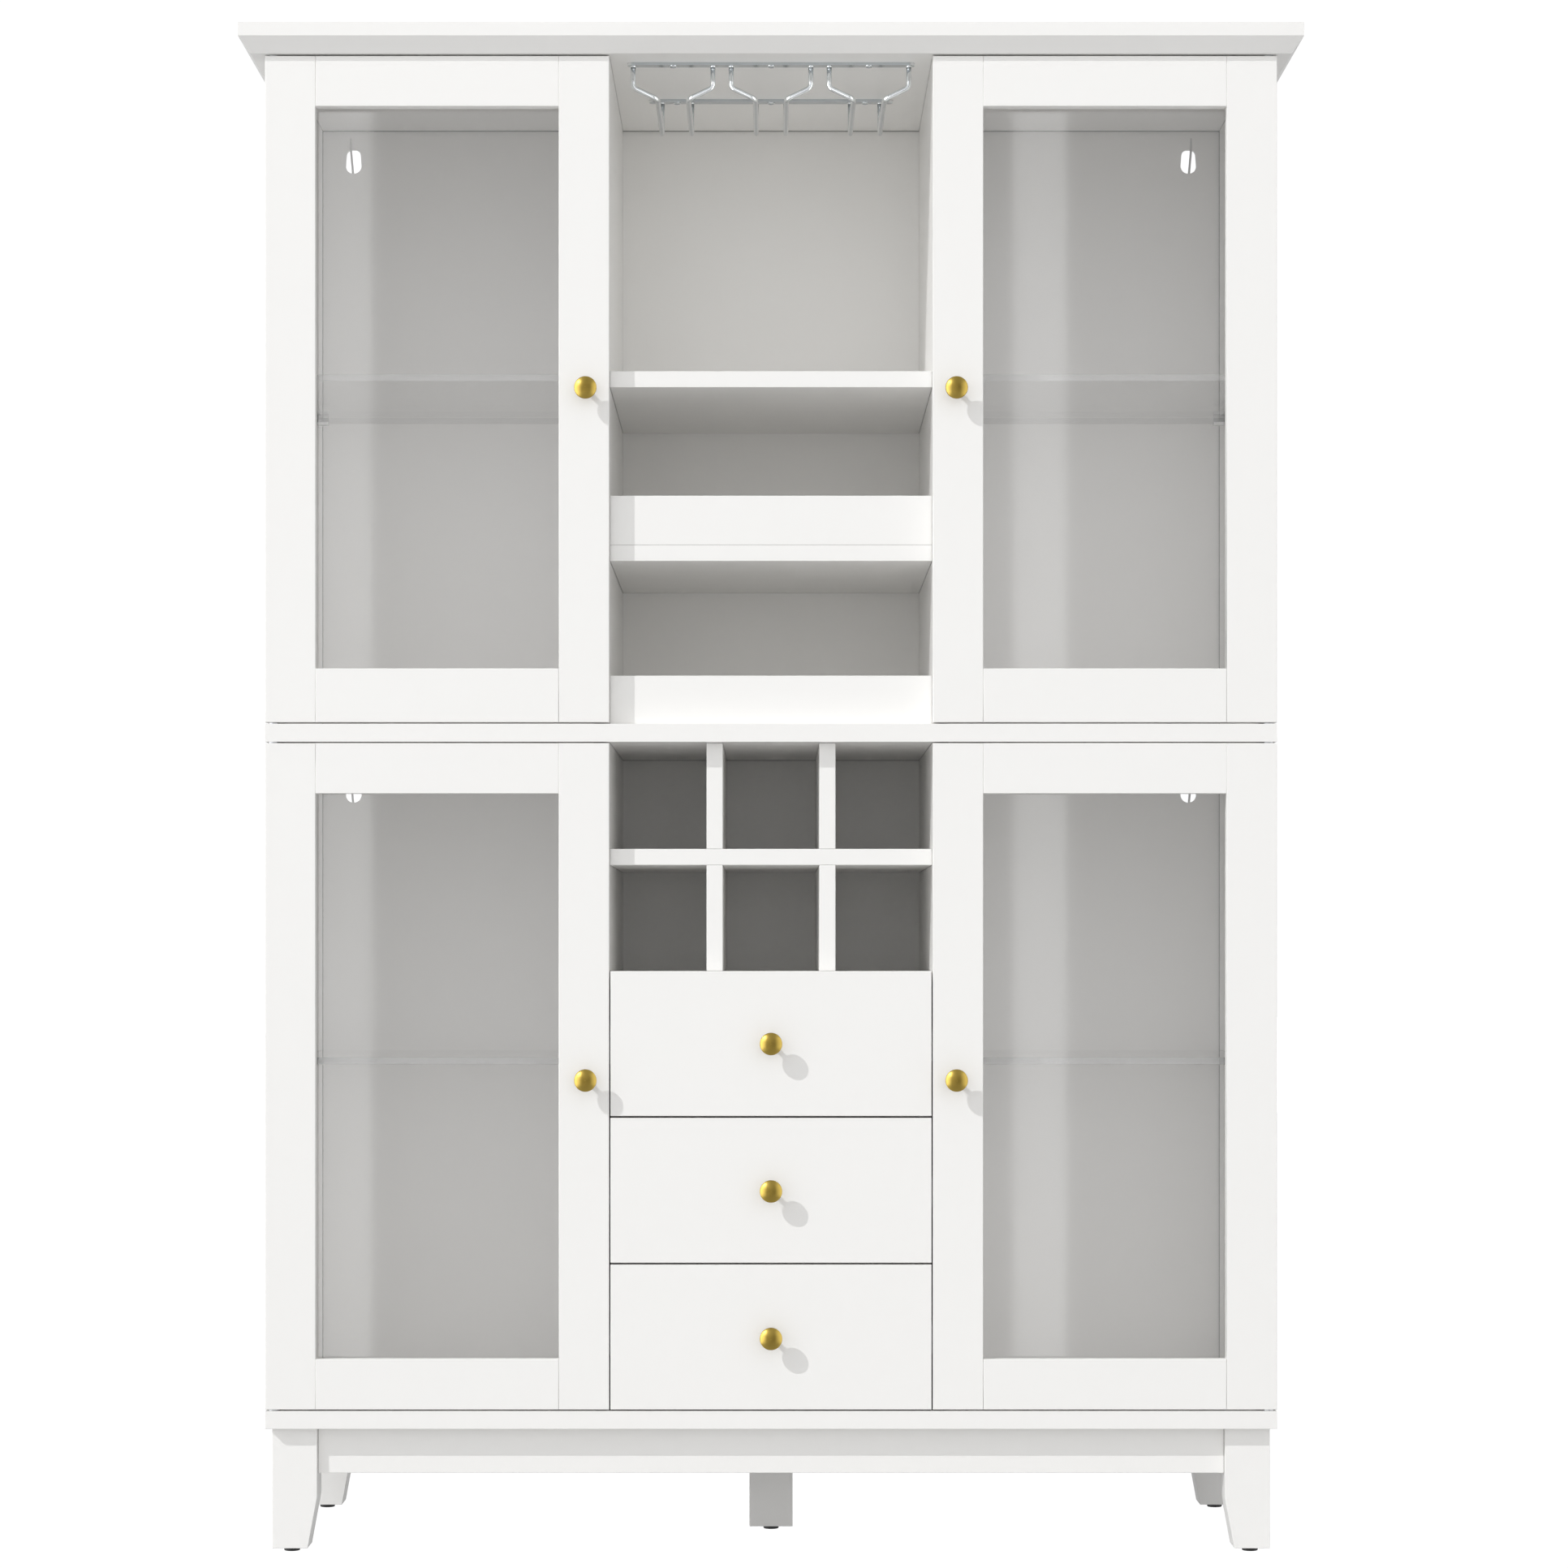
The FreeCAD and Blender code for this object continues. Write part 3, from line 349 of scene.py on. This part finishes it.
# %% Make the clear plastic of the shelf supports: a faint block and a flange under it with painted highlight
def make_clear_plastic(name, light, dark, alpha):
    finish = start_finish(name)
    flow = finish.noise(240.0, 2.0)
    return finish.close(finish.surface({
        "Base Color": finish.blend(flow, light, dark),
        "Roughness": 0.10 + flow * 0.12,
        "Alpha": alpha,
        "Normal": finish.bump(flow, 0.08, 0.0002),
    }))


finishes["clear_plastic"] = make_clear_plastic(
    "clear_plastic", rgb(0.86, 0.87, 0.87), rgb(0.78, 0.79, 0.79), 0.22)
# the flange's lighter, more opaque colour is a painted highlight
painted_highlight_plastic = make_clear_plastic(
    "clear_plastic_painted_highlight", rgb(0.97, 0.97, 0.965), rgb(0.92, 0.92, 0.915), 0.80)
print("clear finishes", "clear_plastic", painted_highlight_plastic.name)

# %% [markdown]
# ## Moulded plastic and webbing
# The glides and catches are injection moulded with a fine spark-eroded grain, so a tight noise breaks up
# the sheen. The straps are woven nylon tape: two sets of waves at right angles make the weave.


# %% Make the plastics and the webbing
def make_plastic(name, light, dark, gloss):
    finish = start_finish(name)
    grain = finish.noise(1500.0, 2.0)
    cloud = finish.noise(30.0, 2.0)
    return finish.close(finish.surface({
        "Base Color": finish.blend(cloud, light, dark),
        "Roughness": gloss + grain * 0.20,
        "Normal": finish.bump(grain, 0.20, 0.0002),
    }))


def make_webbing(name):
    finish = start_finish(name)
    warp = finish.node("TexWave", {"bands_direction": "X"}, {"Vector": finish.where(), "Scale": 420.0})
    weft = finish.node("TexWave", {"bands_direction": "Z"}, {"Vector": finish.where(), "Scale": 420.0})
    weave = (warp + weft) * 0.5
    return finish.close(finish.surface({
        "Base Color": finish.blend(weave, rgb(0.58, 0.58, 0.58), rgb(0.70, 0.70, 0.70)),
        "Roughness": 0.60 + weave * 0.25,
        "Normal": finish.bump(weave, 0.5, 0.0002),
    }))


finishes["black_plastic"] = make_plastic(
    "black_plastic", rgb(0.010, 0.010, 0.011), rgb(0.018, 0.018, 0.019), 0.45)
finishes["white_plastic"] = make_plastic(
    "white_plastic", rgb(0.74, 0.74, 0.73), rgb(0.69, 0.69, 0.68), 0.32)
finishes["grey_nylon"] = make_webbing("grey_nylon")
print("all finishes", len(finishes))

# %% [markdown]
# ## Dressing the frame
# Each node keeps its shape and gets the finish that its record names. The boards come in with perfectly
# sharp edges, which never catch the light, so a weld joins their faces and a bevel rounds every edge by
# less than a millimetre. Weighted normals then keep the big faces flat beside their small bevels. The
# wires of the stemware rack are round already and only grow by the thickness of their plating.

# %% Give every node its finish and soften the boards
SOFTENED = {
    "white_lacquer": 0.0006, "white_board": 0.0004, "shelf_glass": 0.0008, "door_glass": 0.0004,
    "black_plastic": 0.0006, "bright_wire": 0.0004,
}
NOT_SOFTENED = {"stemware_wires"}
PLATING = 0.0004


def join_faces(piece):
    """Make one smooth skin of a node's loose faces."""
    piece.data.shade_smooth()
    custom = piece.data.attributes.get("custom_normal")
    if custom:
        piece.data.attributes.remove(custom)
    weld = piece.modifiers.new("Weld", "WELD")
    weld.merge_threshold = 0.00001


def soften(piece, width):
    """Round every sharp edge of a node by this width."""
    join_faces(piece)
    flat = piece.modifiers.new("Flat", "DECIMATE")
    flat.decimate_type = "DISSOLVE"
    flat.angle_limit = math.radians(1)
    bevel = piece.modifiers.new("Bevel", "BEVEL")
    bevel.width = width
    bevel.segments = 3
    bevel.limit_method = "ANGLE"
    bevel.angle_limit = math.radians(25)
    weighted = piece.modifiers.new("Weighted", "WEIGHTED_NORMAL")
    weighted.mode = "FACE_AREA"
    weighted.weight = 100


def plate(piece, thickness):
    """Let a node's skin grow outwards by this thickness."""
    join_faces(piece)
    coat = piece.modifiers.new("Plating", "DISPLACE")
    coat.strength = thickness
    coat.mid_level = 0


for name, node in nodes.items():
    finish_name = node.data.materials[0].name.split(".")[0]
    moving_front = name.endswith(("_door_frame", "_drawer_front"))
    node.material_slots[0].material = finishes["front_lacquer" if moving_front else finish_name]
    if finish_name in SOFTENED and name not in NOT_SOFTENED:
        soften(node, SOFTENED[finish_name])
plate(nodes["stemware_wires"], PLATING)
print("dressed", len(nodes))

# %% [markdown]
# ## Tools for small fittings
# The solid model leaves screws and catches plain. A few short tools make them here: one turns a profile
# into a closed form, one makes a block with rounded edges, one cuts one form out of another, and one
# finds the separate solids of a node, so that each fitting is placed from the model and not by eye.


# %% Tools that make and cut meshes
def turned(profile, steps=24):
    """A closed form turned about Z from points of radius and height, each end on the axis."""
    shape = bmesh.new()
    rings = []
    for radius, height in profile:
        count = steps if radius > 0 else 1
        rings.append([shape.verts.new((radius * math.cos(math.tau * step / steps),
                                       radius * math.sin(math.tau * step / steps), height))
                      for step in range(count)])
    for low, high in zip(rings, rings[1:]):
        for step in range(steps):
            after = (step + 1) % steps
            around = [low[step % len(low)], low[after % len(low)],
                      high[after % len(high)], high[step % len(high)]]
            shape.faces.new(list(dict.fromkeys(around)))
    bmesh.ops.recalc_face_normals(shape, faces=shape.faces)
    return as_mesh(shape)


def as_mesh(shape):
    mesh = bpy.data.meshes.new("form")
    shape.to_mesh(mesh)
    shape.free()
    return mesh


def rounded_block(low, high, radius):
    """A block between two corners, with every edge rounded."""
    shape = bmesh.new()
    bmesh.ops.create_cube(shape, size=1.0)
    low, high = Vector(low), Vector(high)
    bmesh.ops.transform(shape, verts=shape.verts,
                        matrix=Matrix.Translation((low + high) / 2) @ Matrix.Diagonal((*(high - low), 1.0)))
    bmesh.ops.bevel(shape, geom=shape.edges[:], offset=radius, segments=2, profile=0.5, affect="EDGES")
    return as_mesh(shape)


def cut_out(base, tool):
    """A mesh with another one taken out of it."""
    base_piece = bpy.data.objects.new("base", base)
    tool_piece = bpy.data.objects.new("tool", tool)
    for piece in (base_piece, tool_piece):
        bpy.context.scene.collection.objects.link(piece)
    cut = base_piece.modifiers.new("Cut", "BOOLEAN")
    cut.operation = "DIFFERENCE"
    cut.object = tool_piece
    done = bpy.data.meshes.new_from_object(base_piece.evaluated_get(bpy.context.evaluated_depsgraph_get()))
    for piece in (base_piece, tool_piece):
        bpy.data.objects.remove(piece)
    return done


def solid_boxes(name):
    """The lowest and highest corner of each separate solid of a node, from left to right."""
    shape = bmesh.new()
    shape.from_mesh(nodes[name].data)
    bmesh.ops.remove_doubles(shape, verts=shape.verts, dist=0.00001)
    left = set(shape.verts)
    boxes = []
    while left:
        to_visit = [left.pop()]
        found = []
        while to_visit:
            vertex = to_visit.pop()
            found.append(vertex.co.copy())
            near = {edge.other_vert(vertex) for edge in vertex.link_edges} & left
            left -= near
            to_visit += near
        boxes.append(tuple(Vector(pick(point[axis] for point in found) for axis in range(3))
                           for pick in (min, max)))
    shape.free()
    return sorted(boxes, key=lambda box: tuple(box[0]))


def add_piece(name, parts, materials, body, replaced=()):
    """One object from meshes and their places; each part says which of the materials it has."""
    shape = bmesh.new()
    for mesh, matrix, look in parts:
        before = len(shape.verts)
        faces_before = len(shape.faces)
        shape.from_mesh(mesh)
        shape.verts.ensure_lookup_table()
        shape.faces.ensure_lookup_table()
        bmesh.ops.transform(shape, verts=shape.verts[before:], matrix=matrix)
        for face in shape.faces[faces_before:]:
            face.material_index = look
            face.smooth = True
    bmesh.ops.recalc_face_normals(shape, faces=shape.faces)
    mesh = as_mesh(shape)
    mesh.set_sharp_from_angle(angle=math.radians(35))
    piece = bpy.data.objects.new(name, mesh)
    bpy.context.scene.collection.objects.link(piece)
    for material in materials:
        mesh.materials.append(material)
    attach(piece, body)
    if replaced:
        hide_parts(*replaced)
    print(name, "parts", len(parts), "faces", len(mesh.polygons))
    return piece


STAY = Matrix.Identity(4)


def standing(place, axis, radius=1.0, height=1.0):
    """The matrix that stands a form on a place, along an axis, at a radius and a height."""
    turn = Vector((0, 0, 1)).rotation_difference(Vector(axis)).to_matrix().to_4x4()
    return Matrix.Translation(place) @ turn @ Matrix.Diagonal((radius, radius, height, 1.0))


# %% [markdown]
# ## Screws
# Every plate, runner and bar is held by small screws with a cross recess. One head of radius 1 and height
# 1 is turned and its cross is cut out; every screw is then that head at its own size and place. A pan
# head stands proud, and a flat one is almost level with its plate.

# %% Make the head and place the screws of the stemware rack
CROSS = [(0.16, 0.16), (0.16, 0.62), (-0.16, 0.62), (-0.16, 0.16), (-0.62, 0.16), (-0.62, -0.16),
         (-0.16, -0.16), (-0.16, -0.62), (0.16, -0.62), (0.16, -0.16), (0.62, -0.16), (0.62, 0.16)]


def make_cross():
    shape = bmesh.new()
    outline = shape.faces.new([shape.verts.new((x, y, 0.66)) for x, y in CROSS])
    raised = bmesh.ops.extrude_face_region(shape, geom=[outline])["geom"]
    corners = [item for item in raised if isinstance(item, bmesh.types.BMVert)]
    bmesh.ops.translate(shape, verts=corners, vec=(0, 0, 2.0))
    bmesh.ops.recalc_face_normals(shape, faces=shape.faces)
    return as_mesh(shape)


DOME = [(0, 0), (1, 0), (1, 0.25), (0.93, 0.50), (0.80, 0.72), (0.60, 0.88), (0.32, 0.97), (0, 1)]
head = cut_out(turned(DOME), make_cross())
shank = turned([(0, 0), (1, 0), (1, 1), (0, 1)], 16)
UP, DOWN, BACKWARDS = (0, 0, 1), (0, 0, -1), (0, 1, 0)
RACK_HEAD_RADIUS, RACK_HEAD_HEIGHT = 0.0046, 0.0018
RACK_SHANK_RADIUS, RACK_SHANK_LENGTH = 0.0015, 0.0119
SOLID_HEAD_RADIUS = 0.0035
low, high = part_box("stemware_screws")
rack_places = [(x, y, low.z + RACK_HEAD_HEIGHT)
               for x in (low.x + SOLID_HEAD_RADIUS, 0.0, high.x - SOLID_HEAD_RADIUS)
               for y in (low.y + SOLID_HEAD_RADIUS, high.y - SOLID_HEAD_RADIUS)]
rack_screws = []
for place in rack_places:
    rack_screws.append((head, standing(place, DOWN, RACK_HEAD_RADIUS, RACK_HEAD_HEIGHT), 0))
    rack_screws.append((shank, standing(place, UP, RACK_SHANK_RADIUS, RACK_SHANK_LENGTH), 0))
add_piece("stemware_screw_heads", rack_screws,
          [finishes["bright_wire"]], "cabinet", ["stemware_screws"])

# %% [markdown]
# ## Screws of the doors and drawers
# Each clip is screwed to its door frame on the side away from the pane, and each strike plate has two
# flat screws, because the catch comes within a third of a millimetre of it. The runners have screws in
# their webs, where the two channels pass each other with room to spare.

# %% Place the screws of the clips and strikes
SCREW_RADIUS, SCREW_HEIGHT = 0.003, 0.0015
FLAT_RADIUS, FLAT_HEIGHT = 0.0028, 0.0001
CLIP_SHIFT, STRIKE_SHIFT = 0.004, 0.011
SHORTEST_STRIKE = 0.030


def door_screws(door):
    """A pan head in each clip of a door, away from the pane, and two flat heads in its strike."""
    pane_low, pane_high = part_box(f"{door}_glass")
    pane_middle = (pane_low + pane_high) / 2
    screws = []
    for low, high in solid_boxes(f"{door}_clips"):
        place = (low + high) / 2
        place.y = high.y
        run = high - low
        if run.z > SHORTEST_STRIKE:
            for shift in (-STRIKE_SHIFT, STRIKE_SHIFT):
                spot = place + Vector((0, 0, shift))
                screws.append((head, standing(spot, BACKWARDS, FLAT_RADIUS, FLAT_HEIGHT), 0))
        else:
            axis = 0 if run.x > run.z else 2
            place[axis] += math.copysign(CLIP_SHIFT, place[axis] - pane_middle[axis])
            screws.append((head, standing(place, BACKWARDS, SCREW_RADIUS, SCREW_HEIGHT), 0))
    return screws


for door in ("upper_left_door", "upper_right_door", "lower_left_door", "lower_right_door"):
    add_piece(f"{door}_screws", door_screws(door), [finishes["zinc_steel"]], door)


# %% Place the screws of the runners
WEB_DEPTH = 0.0012
WEB_SCREW_HEIGHT = 0.0014


def runner_screws(name, facing):
    """Three heads in the web of each runner of a node, facing outwards (1) or inwards (-1)."""
    screws = []
    for low, high in solid_boxes(name):
        side = math.copysign(1.0, low.x)
        inner, outer = sorted((abs(low.x), abs(high.x)))
        web = side * (inner + WEB_DEPTH if facing > 0 else outer - WEB_DEPTH)
        for share in (0.08, 0.5, 0.9):
            place = (web, low.y + (high.y - low.y) * share, (low.z + high.z) / 2)
            screws.append((head, standing(place, (side * facing, 0, 0), SCREW_RADIUS, WEB_SCREW_HEIGHT), 0))
    return screws


add_piece("runner_screws", runner_screws("drawer_runners", -1),
          [finishes["zinc_steel"]], "cabinet")
for drawer in ("top_drawer", "middle_drawer", "bottom_drawer"):
    add_piece(f"{drawer}_runner_screws", runner_screws(f"{drawer}_runners", 1),
              [finishes["zinc_steel"]], drawer)

# %% [markdown]
# ## Weld beads on the stemware wires
# The six wires are welded to the bars above them, so a small bead of metal runs round each wire where it
# meets its bar. A plain butt of two forms would look like one stuck into the other; the bead is turned
# from a hollow curve that leaves the wire and spreads out on the bar.

# %% Put a bead where each wire meets a bar
BEAD = [(0, 0), (1.34, 0), (1.22, 0.12), (1.10, 0.40), (1.03, 1.0), (0, 1.0)]
BEAD_HEIGHT = 0.0014
WIRE_RADIUS = 0.0025
bead = turned(BEAD, 20)
front_bar, rear_bar = sorted(solid_boxes("stemware_bars"), key=lambda box: box[0].y)
beads = []
for number, (low, high) in enumerate(solid_boxes("stemware_wires")):
    outside, inside = (low.x, high.x) if number % 2 == 0 else (high.x, low.x)
    towards = math.copysign(WIRE_RADIUS, inside - outside)
    for x, bar in ((outside + towards, front_bar), (inside - towards, rear_bar)):
        place = (x, (bar[0].y + bar[1].y) / 2, bar[0].z)
        beads.append((bead, standing(place, DOWN, WIRE_RADIUS + PLATING, BEAD_HEIGHT), 0))
add_piece("stemware_weld_beads", beads, [finishes["bright_wire"]], "cabinet")

# %% [markdown]
# ## Shelf supports
# Each support is a clear moulding: a peg in the panel, a faint block, and a flange at the bottom whose
# edges gather the light and shine. That shine is a painted highlight: the flange's finish is lighter and
# more opaque than the block's. One box could not show both, so the block and the flange are made apart,
# with a finish each.

# %% Make the supports
REACH, FLANGE, FLANGE_LIP = 0.013, 0.0034, 0.0012
PEG_RADIUS, PEG_LENGTH = 0.0025, 0.008
pane_low, pane_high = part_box("upper_right_door_glass")
room_middle = (pane_low.x + pane_high.x) / 2
supports = []
for low, high in solid_boxes("shelf_pins"):
    room_side = math.copysign(room_middle, low.x)
    if abs(low.x - room_side) < abs(high.x - room_side):
        near, far, wall, into = low.x, low.x + REACH, low.x + REACH, 1
    else:
        near, far, wall, into = high.x - REACH, high.x, high.x - REACH, -1
    middle = (low + high) / 2
    flange = rounded_block((near, low.y, low.z), (far, high.y, low.z + FLANGE), 0.0005)
    block = rounded_block((near, low.y + FLANGE_LIP, low.z + FLANGE),
                          (far, high.y - FLANGE_LIP, high.z), 0.0006)
    peg_place = standing((wall, middle.y, middle.z), (into, 0, 0), PEG_RADIUS, PEG_LENGTH)
    supports += [(flange, STAY, 1), (block, STAY, 0), (shank, peg_place, 0)]
add_piece("shelf_supports", supports, [finishes["clear_plastic"], painted_highlight_plastic],
          "cabinet", ["shelf_pins"])

# %% [markdown]
# ## Door catches
# A magnetic catch is a small white case with a magnet between two steel plates, whose edges stand just
# proud of it and meet the strike. The case, plates and magnet are separate, as in a real catch.

# %% Make the catches
dark_magnet = make_plastic("catch_magnet", rgb(0.030, 0.029, 0.028), rgb(0.050, 0.048, 0.046), 0.55)
catch_parts = []
CASE_SETBACK, PLATE_THICK, SUNK = 0.0016, 0.0015, 0.004
PLATE_PLACES = (0.0025, 0.0080)
PLATE_END, MAGNET_END, MAGNET_SETBACK = 0.005, 0.006, 0.0006
CASE_SCREW_DEPTH = 0.017
for low, high in solid_boxes("door_catches"):
    case_front = low.y + CASE_SETBACK
    catch_parts.append((rounded_block((low.x, case_front, low.z), high, 0.0012), STAY, 0))
    for shift in PLATE_PLACES:
        steel = rounded_block((low.x + shift, low.y, low.z + PLATE_END),
                              (low.x + shift + PLATE_THICK, case_front + SUNK, high.z - PLATE_END), 0.0002)
        catch_parts.append((steel, STAY, 1))
    magnet_start = low.x + PLATE_PLACES[0] + PLATE_THICK
    magnet = rounded_block((magnet_start, low.y + MAGNET_SETBACK, low.z + MAGNET_END),
                           (low.x + PLATE_PLACES[1], case_front + SUNK, high.z - MAGNET_END), 0.0003)
    catch_parts.append((magnet, STAY, 2))
    side = math.copysign(1.0, low.x)
    room_face = high.x if side > 0 else low.x
    for share in (0.2, 0.8):
        place = (room_face, low.y + CASE_SCREW_DEPTH, low.z + (high.z - low.z) * share)
        catch_parts.append((head, standing(place, (side, 0, 0), SCREW_RADIUS, WEB_SCREW_HEIGHT), 1))
add_piece("catch_cases", catch_parts, [finishes["white_plastic"], finishes["zinc_steel"], dark_magnet],
          "cabinet", ["door_catches"])

# %% [markdown]
# ## The stage
# The photograph is a bright studio picture: white all round, soft light from every side, less of it from
# below, and one small hard light from the upper left that draws faint sharp shadows. The sky gives the
# soft light, a sun the hard one, and a pale floor and a wide dome, seen by the camera alone, the white.

# %% Build the floor and the dome
FLOOR_REACH = 40.0
BOUNCE_REACH = 12.0
RAYS = ("diffuse", "glossy", "transmission", "volume_scatter", "shadow", "camera")


def stage_mesh(name, finish, seen_by, fill):
    shape = bmesh.new()
    fill(shape)
    mesh = as_mesh(shape)
    thing = bpy.data.objects.new(name, mesh)
    bpy.context.scene.collection.objects.link(thing)
    mesh.materials.append(finish)
    for ray in RAYS:
        setattr(thing, f"visible_{ray}", ray in seen_by)
    return thing


def make_glow(name, strength, matt):
    finish = start_finish(name)
    glow = finish.node("Emission", values={"Color": rgb(1.0, 1.0, 1.0), "Strength": strength})
    body = finish.node("BsdfDiffuse", values={"Color": rgb(matt, matt, matt)})
    return finish.close(finish.node("AddShader", values={0: glow, 1: body}))


def flat(reach):
    return lambda shape: bmesh.ops.create_grid(shape, x_segments=1, y_segments=1, size=reach)


def fill_dome(shape):
    bmesh.ops.create_uvsphere(shape, u_segments=48, v_segments=24, radius=FLOOR_REACH)


stage_mesh("Floor", make_glow("floor_white", 0.93, 0.30), ("camera",), flat(FLOOR_REACH))
stage_mesh("FloorBounce", make_glow("floor_pale", 0.0, 0.61), ("diffuse", "shadow"), flat(BOUNCE_REACH))
stage_mesh("Dome", make_glow("dome_white", 1.05, 0.0), ("camera",), fill_dome)
print("floor and dome ready")

# %% [markdown]
# ## Cards and light
# The panes of the photograph show soft upright stripes, the mirror images of bright cards beside the
# camera, and the knobs are dark in the middle, because a dim wall stands behind the camera and the brass
# has a painted reflection shade where it faces forwards. The two white lines on each wire are tall soft
# boxes at the left and right. All are upright cards that only mirrors see.

# %% Stand the cards and set the light
CARD_LOW, CARD_HIGH = -1.5, 4.0


def stand_card(name, start, end, strength):
    """An upright card between two places on the floor plan."""
    def fill(shape):
        corners = [(*start, CARD_LOW), (*end, CARD_LOW), (*end, CARD_HIGH), (*start, CARD_HIGH)]
        shape.faces.new([shape.verts.new(corner) for corner in corners])
    stage_mesh(name, make_glow(name.lower(), strength, 0.0), ("glossy",), fill)


stand_card("LeftCard", (-1.30, -4.4), (-0.89, -4.4), 2.9)
stand_card("RightCard", (0.54, -4.4), (0.66, -4.4), 2.9)
stand_card("LeftDimWall", (-3.2, -4.8), (-1.32, -4.8), 0.35)
stand_card("RightDimWall", (1.25, -4.8), (3.2, -4.8), 0.35)
stand_card("LeftSoftBox", (-3.2, -4.6), (-3.2, 1.0), 3.4)
stand_card("RightSoftBox", (3.2, -4.6), (3.2, 1.0), 1.8)

sun_data = bpy.data.lights.new("KeyLight", "SUN")
sun_data.energy = 1.50
sun_data.angle = math.radians(0.4)
sun = bpy.data.objects.new("KeyLight", sun_data)
sun.rotation_euler = Vector((1.42, 1.0, -1.385)).to_track_quat("-Z", "Y").to_euler()
bpy.context.scene.collection.objects.link(sun)

world = bpy.data.worlds.new("Studio")
bpy.context.scene.world = world
sky = Finish(world)
towards = sky.node("TexCoord", output="Generated")


def glow_from(direction, sharpness):
    """How near a part of the sky is to a direction, from 0 to 1."""
    nearness = sky.node("VectorMath", {"operation": "DOT_PRODUCT"},
                        {0: towards, 1: Vector(direction).normalized()}, "Value")
    return sky.clamp(nearness) ** sharpness


brightness = (0.565 + glow_from((0.0, -1.0, 0.0), 4.0) * 0.70
              + glow_from((-0.70, -0.70, 0.15), 10.0) * 0.40
              + glow_from((0.70, -0.70, 0.10), 10.0) * 0.12)
sky.close(sky.node("Background", values={"Color": rgb(1.0, 1.0, 1.0), "Strength": brightness}), "World")

bpy.context.scene.cycles.diffuse_bounces = 6
bpy.context.scene.view_settings.view_transform = "Standard"
print("stage ready")
